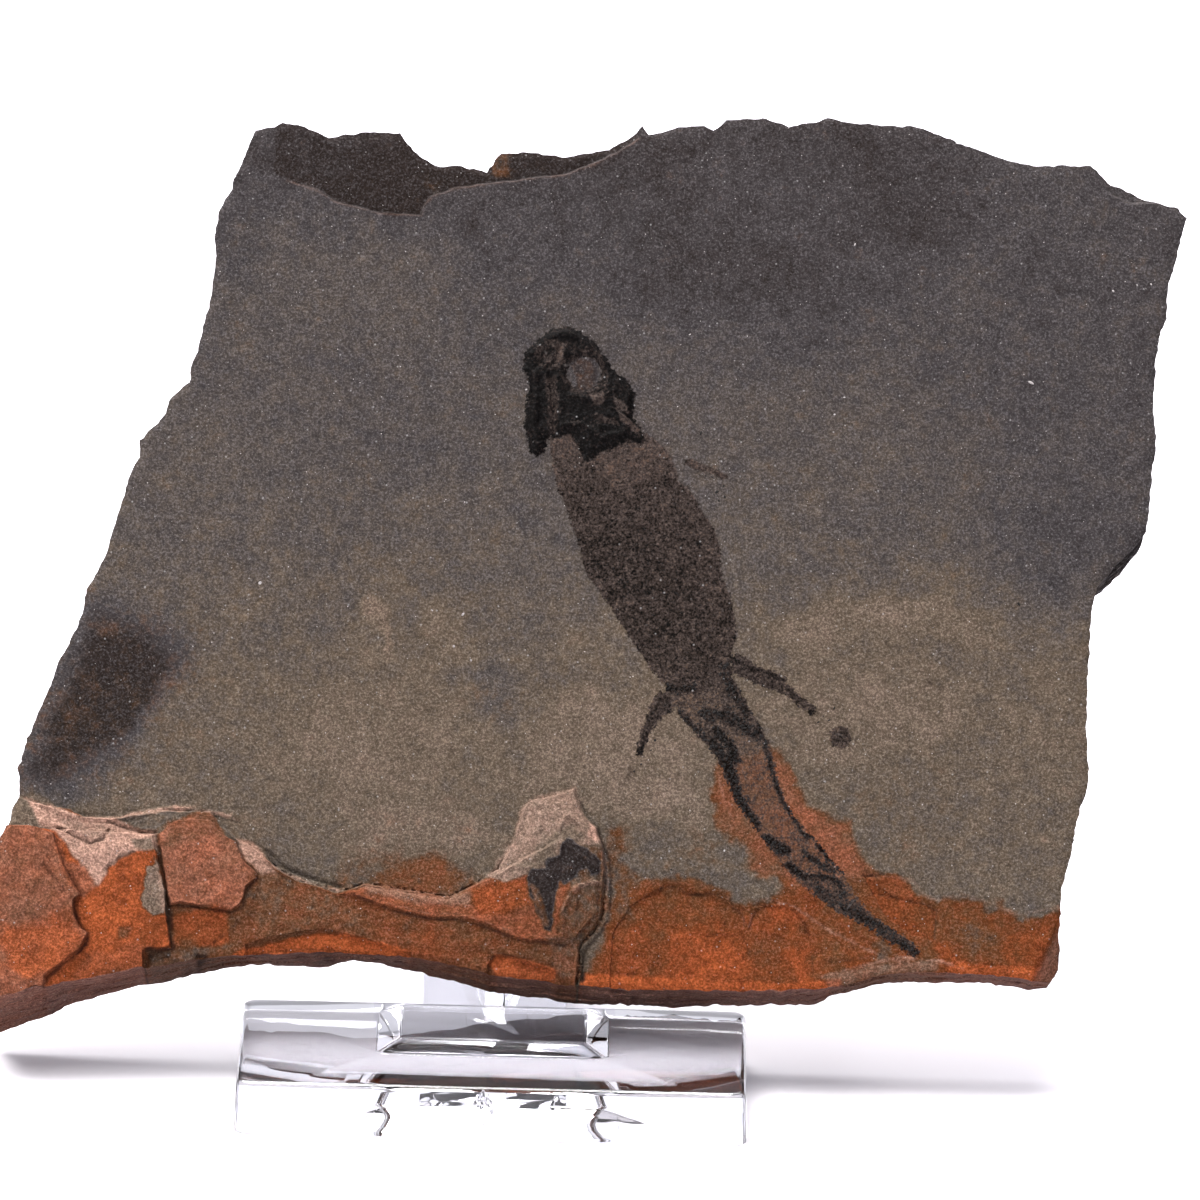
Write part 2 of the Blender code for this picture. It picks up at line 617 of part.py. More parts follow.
def rounded_rectangle(low, high, radius, z, steps=5):
    """A ring round a rectangle with round corners, from its low and high corners."""
    turns = [
        ((high[0] - radius, high[1] - radius), 0.0),
        ((low[0] + radius, high[1] - radius), 0.5),
        ((low[0] + radius, low[1] + radius), 1.0),
        ((high[0] - radius, low[1] + radius), 1.5),
    ]
    ring = []
    for (x, y), quarter in turns:
        for i in range(steps + 1):
            angle = math.pi * (quarter + 0.5 * i / steps)
            ring.append((x + radius * math.cos(angle), y + radius * math.sin(angle), z))
    return ring


def extrude_side(profile, middle, width):
    """A side profile of (y, z) points made as wide as given, about x = middle."""
    return loft([[(middle + side * width / 2, y, z) for y, z in profile] for side in (-1, 1)])


def build_block(parent, finish, middle, rear):
    """The front block: solid, with drafted sides and a recess in its underside open at the rear."""
    half = BLOCK_WIDTH / 2
    front = rear - BLOCK_DEPTH
    rings = []
    for z, edge in ((0.0, 0.0), (BLOCK_HEIGHT - BLOCK_EDGE, 0.0), (BLOCK_HEIGHT, BLOCK_EDGE)):
        inset = z * math.tan(BLOCK_DRAFT) + edge
        low = (middle - half + inset, front + inset)
        high = (middle + half - inset, rear - edge)
        rings.append(rounded_rectangle(low, high, BLOCK_CORNER - edge, z))
    block = add_object("stand_base", loft(rings), finish, parent)
    recess = []
    for z in (-CUT_MARGIN, RECESS_HEIGHT):
        lean = RECESS_SLOPE * z / RECESS_HEIGHT
        low = (middle - RECESS_WIDTH / 2 + lean, rear - RECESS_DEPTH + lean)
        high = (middle + RECESS_WIDTH / 2 - lean, rear + RECESS_CORNER + CUT_MARGIN)
        recess.append(rounded_rectangle(low, high, RECESS_CORNER, z, steps=3))
    add_cutter("recess", loft(recess), parent, block)
    return block


def build_back_rest(parent, finish, middle, rear):
    """The back rest: a leaning plate, the foot behind it, the tongue in front and a rib between."""
    front = rear + GAP
    knee = BLOCK_HEIGHT + GAP
    reach = PLATE_LENGTH * math.sin(PLATE_LEAN)
    rise = PLATE_LENGTH * math.cos(PLATE_LEAN)
    across = PLATE_THICKNESS / math.cos(PLATE_LEAN)
    plate = [
        (front, 0.0), (front + across, 0.0), (front + across, knee),
        (front + reach + across - PLATE_EDGE, knee + rise - 0.5 * PLATE_EDGE),
        (front + reach + PLATE_EDGE, knee + rise), (front + reach, knee + rise - PLATE_EDGE), (front, knee),
    ]
    rest = add_object("back_rest", extrude_side(plate, middle, PLATE_WIDTH), finish, parent)
    foot_start = front + 0.5 * across
    foot_end = rear + TAIL_FOOT_REACH
    wide, narrow = (width / 2 for width in TAIL_FOOT_WIDTHS)
    foot = [(-wide, foot_start), (wide, foot_start), (narrow, foot_end - narrow)]
    turns = [math.pi * i / 8 for i in range(1, 8)]
    foot += [(narrow * math.cos(t), foot_end - narrow + narrow * math.sin(t)) for t in turns]
    foot += [(-narrow, foot_end - narrow)]
    sole = [[(middle + x, y, z) for x, y in foot] for z in (0.0, PLATE_THICKNESS)]
    add_cutter("foot", loft(sole), parent, rest, "UNION")
    tongue = []
    for z in (0.0, RECESS_HEIGHT - GAP):
        inset = RECESS_SLOPE * z / RECESS_HEIGHT + TONGUE_INSET
        half = RECESS_WIDTH / 2 - inset
        low = (middle - half, rear - RECESS_DEPTH + inset)
        high = (middle + half, foot_start)
        tongue.append(rounded_rectangle(low, high, RECESS_CORNER - TONGUE_INSET, z, steps=3))
    add_cutter("tongue", loft(tongue), parent, rest, "UNION")
    rib_top = foot_start + math.tan(PLATE_LEAN) * (RIB_HEIGHT - knee)
    rib_end = rear + RIB_REACH
    rib = [
        (foot_start, RIB_SINK), (rib_end, RIB_SINK), (rib_end, PLATE_THICKNESS + RIB_HEEL),
        (rib_top + RIB_CREST, RIB_HEIGHT), (rib_top, RIB_HEIGHT), (foot_start, knee),
    ]
    add_cutter("rib", extrude_side(rib, middle, RIB_THICKNESS), parent, rest, "UNION")
    return rest


def world_corners(objects):
    """The world places of the objects' corners, with their modifiers in effect."""
    bpy.context.view_layer.update()
    graph = bpy.context.evaluated_depsgraph_get()
    solids = [obj.evaluated_get(graph) for obj in objects]
    return [solid.matrix_world @ vertex.co for solid in solids for vertex in solid.data.vertices]


def build_display():
    clear_scene()
    root = bpy.data.objects.new("display", None)
    face = bpy.data.objects.new("face", None)
    for empty in (root, face):
        bpy.context.scene.collection.objects.link(empty)
    face.parent = root
    face.rotation_euler = (math.pi / 2 - SLAB_LEAN, 0.0, 0.0)
    slab = build_slab(face)
    build_fossil(face)
    over_block = [
        corner for corner in world_corners([slab])
        if abs(corner.x / MM - BLOCK_OFFSET) < 0.5 * BLOCK_WIDTH
    ]
    seat = min(over_block, key=lambda corner: corner.z)
    face.location.z = (BLOCK_HEIGHT + GAP) * MM - seat.z
    rear = seat.y / MM + SEAT_FROM_REAR
    clear = material("clear_plastic", (0.93, 0.94, 0.97), 0.04, transmission=1.0, ior=1.49)
    build_block(root, clear, BLOCK_OFFSET, rear)
    build_back_rest(root, clear.copy(), BLOCK_OFFSET, rear)
    shown = [obj for obj in bpy.data.objects if obj.type == "MESH" and not obj.hide_render]
    corners = world_corners(shown)
    for axis in (0, 1):
        low = min(corner[axis] for corner in corners)
        high = max(corner[axis] for corner in corners)
        root.location[axis] = -(low + high) / 2
    bpy.context.view_layer.update()


build_display()
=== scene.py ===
"""A larval amphibian fossil on its shale slab, leaning in a clear plastic stand."""

import math
import random
from collections import namedtuple

import bmesh
import bpy
import numpy as np
from mathutils import Matrix, Vector, kdtree, noise
from mathutils.geometry import delaunay_2d_cdt


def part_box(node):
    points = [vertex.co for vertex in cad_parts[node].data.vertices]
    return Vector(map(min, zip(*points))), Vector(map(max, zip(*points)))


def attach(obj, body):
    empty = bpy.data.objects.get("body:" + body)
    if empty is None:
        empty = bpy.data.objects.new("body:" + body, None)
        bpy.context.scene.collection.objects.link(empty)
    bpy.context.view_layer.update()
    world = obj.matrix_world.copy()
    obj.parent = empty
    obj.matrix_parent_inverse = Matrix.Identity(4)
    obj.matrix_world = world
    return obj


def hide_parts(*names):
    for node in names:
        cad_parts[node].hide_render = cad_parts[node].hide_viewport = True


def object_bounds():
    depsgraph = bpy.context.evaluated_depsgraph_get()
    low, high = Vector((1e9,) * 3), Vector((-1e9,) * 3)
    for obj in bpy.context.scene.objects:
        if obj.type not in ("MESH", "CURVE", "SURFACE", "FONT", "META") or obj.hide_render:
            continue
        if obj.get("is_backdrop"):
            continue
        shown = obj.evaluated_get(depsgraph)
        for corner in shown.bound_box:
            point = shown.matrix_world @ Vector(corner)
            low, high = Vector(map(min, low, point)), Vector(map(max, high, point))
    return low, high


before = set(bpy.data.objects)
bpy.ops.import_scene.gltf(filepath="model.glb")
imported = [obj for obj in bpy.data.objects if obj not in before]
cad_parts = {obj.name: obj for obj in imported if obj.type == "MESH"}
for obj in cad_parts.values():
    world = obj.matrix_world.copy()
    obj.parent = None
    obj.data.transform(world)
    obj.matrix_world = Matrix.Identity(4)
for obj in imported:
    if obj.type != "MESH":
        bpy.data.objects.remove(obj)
cad_low, cad_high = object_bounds()


# ---------------------------------------------------------------------------
# The table and the light. A plain white sheet carries the display. Two wide soft lights hang over it, one
# behind and nearly in the plane of the slab, so that it grazes the stone, and one above the table in front.
# A small low one to the front left draws the ledges. A white surround, brighter behind, lifts the shadows.

SHEET_SPAN = 8.0
SHEET_DROP = 0.00005  # the stand's underside is not quite flat, so a film of air is left below it
SHEET_WHITE = (0.53, 0.515, 0.545, 1.0)
SURROUND = (0.92, 0.91, 1.0, 1.0)
SURROUND_FRONT = 0.64  # strength of the surround in front of the display, and behind it
SURROUND_BACK = 1.4
SoftLight = namedtuple("SoftLight", "name place width power colour")
SOFT_LIGHTS = [
    SoftLight("rear_light", (-0.30, 0.45, 1.30), 1.4, 66.0, (1.0, 0.98, 0.97)),
    SoftLight("top_light", (-0.35, -0.15, 1.30), 1.2, 28.0, (1.0, 0.98, 0.97)),
    SoftLight("side_light", (-1.27, -1.52, 0.53), 0.45, 22.0, (1.0, 0.985, 0.975)),
]


def add_node(tree, kind, inputs=None, **settings):
    """A node with its settings made and its inputs linked or set."""
    node = tree.nodes.new(kind)
    for name, value in settings.items():
        setattr(node, name, value)
    for socket, value in (inputs or {}).items():
        if isinstance(value, bpy.types.NodeSocket):
            tree.links.new(value, node.inputs[socket])
        else:
            node.inputs[socket].default_value = value
    return node


def new_material(name, constants):
    """A node material with its tree and its shader, whose constants are set."""
    made = bpy.data.materials.new(name)
    made.use_nodes = True
    made.node_tree.nodes.clear()
    shader = add_node(made.node_tree, "ShaderNodeBsdfPrincipled", constants)
    add_node(made.node_tree, "ShaderNodeOutputMaterial", {"Surface": shader.outputs[0]})
    return made, made.node_tree, shader


def add_bump(tree, shader, height, distance, strength):
    """Fine relief in a material, its depth in metres."""
    bump = add_node(tree, "ShaderNodeBump", {"Height": height, "Distance": distance, "Strength": strength})
    tree.links.new(bump.outputs[0], shader.inputs["Normal"])


def placed(name, mesh, finish):
    """An object of a mesh with its finish, at the origin."""
    mesh.materials.append(finish)
    made = bpy.data.objects.new(name, mesh)
    bpy.context.scene.collection.objects.link(made)
    return made


def mesh_object(name, places, faces, finish):
    """A mesh object at the origin, its places given in metres."""
    mesh = bpy.data.meshes.new(name)
    mesh.from_pydata([tuple(place) for place in places], [], faces)
    return placed(name, mesh, finish)


paper, paper_tree, paper_shader = new_material("white_paper", {"Base Color": SHEET_WHITE, "Roughness": 0.6})
paper_place = add_node(paper_tree, "ShaderNodeTexCoord").outputs["Object"]
paper_tooth = add_node(paper_tree, "ShaderNodeTexNoise", {"Vector": paper_place, "Scale": 900.0})
add_bump(paper_tree, paper_shader, paper_tooth.outputs["Fac"], 0.00002, 0.3)

half_span = SHEET_SPAN / 2
table = mesh_object(
    "table_sheet",
    [(x * half_span, y * half_span, -SHEET_DROP) for x, y in ((-1, -1), (1, -1), (1, 1), (-1, 1))],
    [(0, 1, 2, 3)], paper,
)
table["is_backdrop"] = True

for light in SOFT_LIGHTS:
    lamp = bpy.data.lights.new(light.name, "AREA")
    lamp.shape = "DISK"
    lamp.size = light.width
    lamp.energy = light.power
    lamp.color = light.colour
    holder = bpy.data.objects.new(light.name, lamp)
    holder.location = light.place
    holder.rotation_euler = (-Vector(light.place)).to_track_quat("-Z", "Y").to_euler()
    bpy.context.scene.collection.objects.link(holder)

surround = bpy.data.worlds.new("white_surround")
surround.use_nodes = True
surround_shade = surround.node_tree.nodes["Background"]
surround_shade.inputs["Color"].default_value = SURROUND
surround_way = add_node(surround.node_tree, "ShaderNodeTexCoord").outputs["Generated"]
surround_axes = add_node(surround.node_tree, "ShaderNodeSeparateXYZ", {"Vector": surround_way})
surround_strength = add_node(surround.node_tree, "ShaderNodeMapRange", {
    "Value": surround_axes.outputs["Y"], "From Min": -0.1, "From Max": 0.5,
    "To Min": SURROUND_FRONT, "To Max": SURROUND_BACK,
}).outputs[0]
surround.node_tree.links.new(surround_strength, surround_shade.inputs["Strength"])
bpy.context.scene.world = surround
bpy.context.scene.view_settings.view_transform = "Standard"


# ---------------------------------------------------------------------------
# The slab. One broken piece of laminated grey shale that splits along its bedding. Its main bedding
# plane is flat and fine-grained; part of the bed above is left at the lower left as flakes and ledges
# stained orange by iron, and the broken edge shows the laminae. It rests on the stand by its own weight.

MM = 0.001
SLAB_LEAN = math.radians(27)
SLAB_THICKNESS = 10.6
SHEET_TILT = math.radians(12)  # the outlines are drawn on a sheet this much more upright than the face
SHEET_TURN = math.radians(1.5)  # and turned this much clockwise
SHEET_CENTRE = np.array((60.0, 60.0))
OUT_OF_FACE = Vector((0.0, -math.cos(SLAB_LEAN), math.sin(SLAB_LEAN)))
UP_FACE = Vector((0.0, math.sin(SLAB_LEAN), math.cos(SLAB_LEAN)))

FACE_SWELL = 0.22
SWELL_LENGTH = 26.0
FACE_RIPPLE = 0.03
RIPPLE_LENGTH = 1.7
ARRIS_WEAR = 0.28
ARRIS_WIDTH = 0.45
BACK_SWELL = 0.3
OVERLAY_DIP = 0.055
DIP_START = 85.0
TERRACE = 0.13  # thickness of the laminae that show as steps on a worn slope
PLATE_STEP = 0.13  # the iron-stained band is scaly: thin plates with curved rims
PLATE_COUNT = 2.6
PLATE_LENGTH_ALONG = 6.5

EDGE_TOP = [
    (25.3, 12.6), (27.3, 12.4), (28.1, 11.9), (30.4, 12.3), (32.8, 13.3), (35.6, 13.3), (39.9, 12.9),
    (40.4, 13.7), (41.9, 15.2), (43.5, 16), (46.1, 16.2), (48.6, 16.8), (50.1, 15.1), (52.6, 14.8),
    (55.9, 15.3), (60.9, 14.5), (63.4, 13), (64.3, 12.2), (64.9, 13.2), (68.7, 12.3), (70.5, 12.2),
    (71.4, 12.7), (72.7, 11.7), (76.4, 11.4), (79, 12.3), (82.9, 11.6), (85.3, 11.9), (89.2, 12.3),
    (91.6, 12.5), (95.6, 13.8), (99.5, 15.3), (103.5, 16.4), (109.3, 16.3), (111.4, 18.1), (115.3, 19.8),
    (118.1, 20.6), (119, 21.6),
]
EDGE_RIGHT = [
    (118.5, 23.4), (116.9, 29.7), (115.8, 35.7), (115.5, 40.8), (115.8, 43.6), (114.9, 50.7), (114.7, 53.1),
    (113.9, 54.3), (112.2, 56), (109.6, 58.6), (109.2, 61.3), (108.8, 68.2), (108.6, 78), (107, 85.4),
    (106.2, 88.6), (105.8, 91.9), (105.7, 96.2), (104.8, 97.6),
]
EDGE_BOTTOM = [
    (103, 97.9), (98.8, 97.4), (91.9, 97.1), (88.2, 97.4), (84.5, 98.4), (82.5, 98.7), (74.3, 98.9),
    (64.1, 98.8), (57.1, 98.4), (52, 97.7), (49, 97.4), (44.9, 96.4), (40.8, 95.6), (36.7, 95.4),
    (32, 95.1), (28.6, 95.2), (20.4, 95.8), (14.3, 96.8), (6.1, 98.4), (0, 99.9),
]
EDGE_LEFT = [
    (-1.1, 99.6), (-1.5, 96), (-1.2, 88.5), (-0.6, 85.6), (1, 82.5), (2, 79.3), (1.8, 76.8), (3.5, 71.9),
    (6.5, 65), (8.2, 61.3), (8.6, 58.9), (10.3, 56), (11.9, 50.7), (12.8, 47.5), (13.8, 45.6), (13.9, 44),
    (16.4, 41.2), (17, 39.6), (19, 37.7), (19.8, 35.3), (21.1, 28.2), (21.5, 25.4), (21.2, 23.4),
    (21.7, 21), (23.1, 18.3), (23.9, 16.1),
]
# How far the broken bottom wall drops below the face's edge, as drawn, from left to right
WALL_DROPS = [
    (0, 3.5), (4.1, 3.1), (7.8, 2.2), (18, 1.9), (24.5, 1), (32.2, 1.9), (35.3, 0.8), (37.5, 1), (40, 1.6),
    (49, 1.9), (66.2, 2), (80.9, 1.8), (83.3, 1.1), (104, 1.3),
]

RECESS = [
    (27.2, 8), (27.2, 17.3), (29.3, 18.2), (31.2, 18.7), (33.6, 20.1), (38, 21.2), (42.1, 21.4),
    (42.4, 20.4), (43.1, 19.5), (45.9, 18.6), (51.4, 17.9), (56.5, 17.3), (59.3, 16.3), (62, 15),
    (64, 13.6), (64, 8),
]
CORNER_CHIP = [
    (109.2, 12), (109.3, 16.3), (110.2, 18.1), (111.4, 19.5), (113.4, 20.3), (116.9, 20.1), (118.5, 20.6),
    (122, 18),
]
CORNER_BEVEL = [
    (106.4, 90.8), (104.9, 93.6), (102.6, 98.1), (102.6, 104), (112, 104), (112, 90.8),
]
OVERLAY = [
    (-6, 80.2), (2, 79.6), (4.5, 80.4), (7.3, 80.8), (8.6, 81.6), (11.4, 81.8), (16.3, 81), (21.2, 81.1),
    (22.3, 82.6), (24.5, 84.2), (26.5, 85.2), (27.8, 86.8), (30.2, 88), (33.9, 89.1), (36.7, 88.2),
    (40.8, 88.9), (44.9, 89.5), (46.9, 88.6), (49.8, 86.8), (51.2, 84.2), (52.4, 80.5), (53.2, 79.9),
    (55, 79.6), (57.5, 78.7), (58.2, 81.1), (59.6, 82.6), (60.4, 84.8), (60.6, 87.3), (60.3, 91.5),
    (59.5, 92.9), (58.1, 94.4), (57.8, 98), (57.6, 104), (-6, 106),
]
FLAKE_MIDDLE = [
    (-6, 82.5), (6, 83), (15.5, 83.6), (16.1, 86.5), (16.8, 89.3), (16.9, 91.6), (17.4, 94.9), (14.6, 95.1),
    (14.6, 97.5), (14, 102), (-6, 106),
]
FLAKE_LEFT = [
    (-6, 83), (3, 82.6), (5.6, 83.6), (6.2, 85.5), (6.6, 86.8), (7.3, 88), (7.8, 89), (8.4, 89.7),
    (7.6, 90.3), (7.7, 91.5), (8.2, 92.8), (9.1, 93.5), (8.4, 95.1), (6.6, 96.4), (4.8, 97.8), (4.2, 103),
    (-6, 106),
]
FLAKE_RIGHT = [
    (15.9, 83.6), (17.5, 82.2), (19, 82), (21, 82.1), (22.5, 83.5), (23.8, 84.3), (24.5, 86.2),
    (25.8, 87.3), (25.8, 88), (24.8, 88.8), (24.6, 90), (24, 90.8), (23.2, 91.2), (20, 90.7), (18.3, 90.5),
    (17, 90.6),
]
SHELF = [
    (33.9, 89.4), (36.7, 88.6), (44.9, 89.9), (50.2, 87), (56, 84), (60, 86.5), (59.9, 91.3), (57.6, 94),
    (55.4, 94.1), (52.8, 94.3), (50.8, 93.7), (48.7, 92.6), (46.3, 92), (43.4, 92), (40.4, 91.4),
    (37.6, 90.5),
]
LOWER_STRIP = [
    (24.6, 94.4), (27, 93.6), (29.6, 93.1), (32.7, 92.8), (37.2, 94), (40, 94.9), (41.3, 95.2), (41.3, 100),
    (24.6, 100),
]
CORNER_STRIP = [
    (48.7, 96.5), (49.3, 95.5), (50.6, 95.4), (53, 96.1), (55.2, 96.8), (57.2, 97.7), (57, 103),
    (48.5, 103),
]
BAND_FLAKES = [
    (64.6, 89.4), (66.3, 88.4), (67.7, 88.4), (68.8, 89.1), (71.8, 89.3), (73.3, 90.6), (74, 90.8),
    (74.8, 92.5), (75.5, 90.6), (78.1, 90.4), (79.8, 91.3), (81, 93.2), (82, 104), (60.6, 104),
    (61.2, 93.2), (63, 90.4),
]
BACK_STEP = [
    (58, 4), (62, 20), (70, 34), (84, 41), (99, 60), (126, 66), (126, 4),
]
NOTCH = [(14.7, 95.2), (17.3, 94.9), (17.2, 95.6), (16, 96), (15.3, 96.6), (14.8, 97)]
BAND_PLATE = [
    (86, 87.2), (89.3, 89.6), (91, 90.1), (92.3, 90.3), (93.6, 91), (93.4, 92.4), (93.3, 94), (91, 93.4),
    (88.4, 91.6),
]

RUST_BAND = [
    (60.4, 90), (61.2, 89), (63, 88.4), (65.3, 88.2), (67.5, 87.9), (70.2, 88.2), (72.5, 89.2),
    (73.9, 89.5), (77.6, 89.9), (77.6, 89), (76.9, 87.2), (75, 85.5), (73.1, 83.9), (72, 81.6), (71.6, 79),
    (71.7, 76.8), (74, 76), (77.3, 74.8), (78.8, 77), (80, 78.8), (82, 80.6), (83.8, 82.6), (84.9, 84.5),
    (86.3, 86.4), (88.3, 87.2), (91.3, 87.8), (92.2, 89.3), (94, 89.9), (96.3, 89.3), (98.6, 90.1),
    (101.9, 91.4), (104, 91.6), (108, 90.4), (108, 104), (60, 104),
]

Ledge = namedtuple("Ledge", "name outline rise slope grows", defaults=(None,))
LEDGES = [
    Ledge("recess", RECESS, -0.8, 0.35, (26.5, 40.0)),  # it deepens to the right between these places
    Ledge("corner chip", CORNER_CHIP, -0.6, 0.4),
    Ledge("corner bevel", CORNER_BEVEL, -3.2, 2.4),
    Ledge("overlay", OVERLAY, 0.7, 0.3),
    Ledge("middle flake", FLAKE_MIDDLE, 0.8, 0.22),
    Ledge("left flake", FLAKE_LEFT, 0.85, 0.22),
    Ledge("right flake", FLAKE_RIGHT, 0.5, 0.2),
    Ledge("shelf", SHELF, 0.4, 0.28),
    Ledge("lower strip", LOWER_STRIP, -0.5, 0.3),
    Ledge("corner strip", CORNER_STRIP, -0.5, 0.3),
    Ledge("band flakes", BAND_FLAKES, -0.2, 0.16),
    Ledge("notch", NOTCH, -0.35, 0.2),
    Ledge("band plate", BAND_PLATE, -0.16, 0.14),
]
WORN_SLOPE = (0.5, 3.5)  # the bed's upper rim rises this much more, over this width, in terraces
WORN_WAVES = ((0.1, 0.85, 15.0), (0.12, 2.6, 16.0), (0.045, 0.36, 19.0))  # height, length and noise channel
CREASED_SLOPE = 1.0

# Thin raised lips and open cracks: the line, its height or depth, and how wide it is
Line = namedtuple("Line", "route rise width")
LINES = [
    Line([(26.6, 86), (28.3, 87.4), (31.5, 88.5), (34, 89.2), (35.2, 89.2)], 0.22, 0.3),
    Line([(26.9, 85), (28.6, 86.7), (31.2, 87.7), (34.2, 88.6)], -0.35, 0.3),
    Line([(6, 83), (7.5, 83.8), (9.2, 84.6), (10.5, 84.2), (11, 83.2)], -0.34, 0.3),
    Line([(5.8, 82.6), (7.6, 83.3), (9.3, 84)], 0.18, 0.3),
    Line([(11, 82.2), (12.4, 82.8), (14, 83.3), (15.6, 83.4)], -0.34, 0.26),
    Line([(11, 81.8), (12.6, 82.3), (14.2, 82.9)], 0.16, 0.25),
    Line([(4.4, 80.6), (6.5, 81.4), (9, 82), (11.8, 82), (14.5, 81.4), (16.5, 80.8), (19, 80.8)], 0.26,
         0.4),
    Line([(21.5, 81.5), (22.8, 81.9), (24, 82.2)], -0.16, 0.25),
    Line([(4.5, 86.8), (5.4, 87.9), (6.1, 88.7), (6.6, 89.5)], -0.22, 0.25),
    Line([(8.6, 95.4), (9.2, 96), (8.8, 97.2)], -0.16, 0.22),
    Line([(10.7, 87.2), (11.4, 86.5), (12.4, 85.9), (13.5, 85.5)], -0.2, 0.26),
    Line([(17, 90.6), (18.4, 90.5), (20.2, 90.8), (23.2, 91.2)], -0.14, 0.24),
    Line([(24.6, 90), (24, 91.6), (23.2, 93.2)], 0.14, 0.35),
    Line([(25.9, 88.6), (25.2, 90.2), (24.2, 92)], 0.12, 0.3),
    Line([(26.2, 88.2), (26.4, 90), (25.4, 92.4)], -0.1, 0.3),
    Line([(19.9, 95.6), (20.4, 95.8), (21, 95.7)], -0.4, 0.3),
    Line([(56, 83), (56.4, 81.9), (56.9, 81.6), (57.8, 82.4), (58.8, 83.8), (60, 85)], 0.24, 0.3),
    Line([(56.5, 83.4), (56.2, 85), (55.9, 86)], 0.16, 0.25),
    Line([(57, 89.3), (57.9, 88.7), (58.8, 88.4), (60.2, 88.2)], 0.26, 0.35),
    Line([(56.2, 93.6), (56.3, 91.2), (57, 89.8), (57.8, 89)], 0.2, 0.35),
    Line([(57.8, 94), (57.5, 92), (57.6, 90)], 0.14, 0.25),
    Line([(54, 90.2), (54.3, 91.6), (54.8, 92.8)], 0.16, 0.22),
    Line([(52.6, 88), (53.2, 90), (54, 92)], -0.14, 0.3),
    Line([(49, 87.6), (51.5, 86.8), (53.5, 87), (55, 86)], 0.12, 0.4),
    Line([(58, 94.4), (57.8, 96), (57.9, 97.6)], 0.22, 0.35),
    Line([(58.5, 95), (58.3, 96.6), (58.3, 97.8)], -0.35, 0.4),
    Line([(64.5, 89.5), (65.8, 89.3), (66.4, 88.4), (67.8, 88.4), (69, 89.2), (70.3, 89.4), (71.8, 89.2),
          (72.8, 89.7), (73.3, 90.5), (74.2, 90.9)], -0.16, 0.2),
    Line([(75.3, 90.3), (76.5, 90.4), (78, 90.1), (79, 90.7), (79.8, 91.2), (80.3, 92.2), (80.8, 93.2)],
         -0.18, 0.2),
    Line([(74.2, 90.9), (74.4, 92), (75, 92.3), (75.4, 91)], -0.1, 0.2),
    Line([(70, 93.5), (74.5, 93.5), (75, 95), (74, 96)], -0.1, 0.2),
    Line([(86.5, 87.6), (88.2, 87.3)], -0.22, 0.22),
    Line([(87.2, 89.2), (89.5, 89.6), (90.5, 90), (92, 90.1), (93.3, 90.8), (93.5, 92), (93.4, 93.4)],
         -0.16, 0.2),
    Line([(89.8, 88), (90.8, 87.7), (91.6, 88.4)], -0.1, 0.2),
    Line([(78.5, 88.5), (80, 89.3), (81.5, 89.7), (83.5, 91.5), (85.5, 93), (87, 94), (89.5, 95.5),
          (91.5, 96.2)], 0.14, 0.3),
    Line([(75.5, 84.2), (76.5, 86), (78, 87.6)], 0.08, 0.3),
    Line([(84.4, 87.2), (86.2, 87.9), (88, 88)], 0.12, 0.3),
    Line([(95, 93.5), (96, 95), (97, 96.2)], -0.1, 0.2),
    Line([(104, 92), (103.8, 94), (104.4, 95.6)], -0.12, 0.25),
    Line([(92.8, 67.9), (94, 68.6), (95.2, 69.4)], -0.05, 0.16),
    Line([(37, 46.5), (35, 48.2), (33.6, 49.8), (33.2, 50.9)], -0.1, 0.16),
    Line([(74.1, 97.9), (74.3, 99.2)], -0.4, 0.3),
]

# The finely ragged look of a break: amplitude and length, in millimetres
BREAK_ROUGHNESS = 0.16
BREAK_LENGTH = 1.1
LEDGE_ROUGHNESS = 0.12
EDGE_SPACING = 0.42
LEDGE_SPACING = 0.3
FACE_SPACING = 0.72
DETAIL_SPACING = 0.27
FINE_SPACING = 0.21
BACK_SPACING = 1.5
DETAIL_AREAS = [
    [(58, 86), (66, 84), (72, 86), (86, 84), (95, 86.5), (107, 88.5), (107, 101), (58, 101)],
    [(26, 10), (26, 17.5), (33, 21.5), (43, 22), (46, 19.3), (60, 17.2), (66, 13), (66, 10)],
    [(54, 34), (62, 34), (68, 44), (66, 50), (54, 50), (51, 40)],
    [(62, 68), (73, 64), (86, 70), (86, 76), (79, 78), (86, 88), (72, 88), (69, 76)],
]
FINE_AREA = [
    (-3, 78.8), (20, 79.6), (28, 84), (38, 86.5), (48, 86), (50.5, 80), (53, 78), (58.5, 77), (61.8, 83),
    (62, 92), (59.5, 101), (-3, 103),
]

# Laminae round the broken edge: where its beds meet through the thickness, each split into finer ones
WALL_BEDS = (0.0, 0.3, 0.5, 0.76, 1.0)
LAMINAE_PER_BED = 3
BED_ROUGHNESS = 0.75
BED_WAVE = 7.0
LAMINA_ROUGHNESS = 0.3
LAMINA_WAVE = 2.4
BACK_INSET = 0.7
EDGE_WINDOW = 3.0
LOWER_EDGE_START = 94.0  # below this on the drawing sheet the edge is the lower one, whose wall shows
SAME_PLACE = 0.001
STONE_CREASE = 38.0  # edges sharper than this many degrees stay sharp


def cast(outline):
    """Places on the face, in millimetres from its middle, of points on the drawing sheet."""
    right, down = (np.array(outline, float) - SHEET_CENTRE).T
    across = right * math.cos(SHEET_TURN) + down * math.sin(SHEET_TURN)
    up = right * math.sin(SHEET_TURN) - down * math.cos(SHEET_TURN)
    return np.column_stack([across, up / math.cos(SHEET_TILT)])


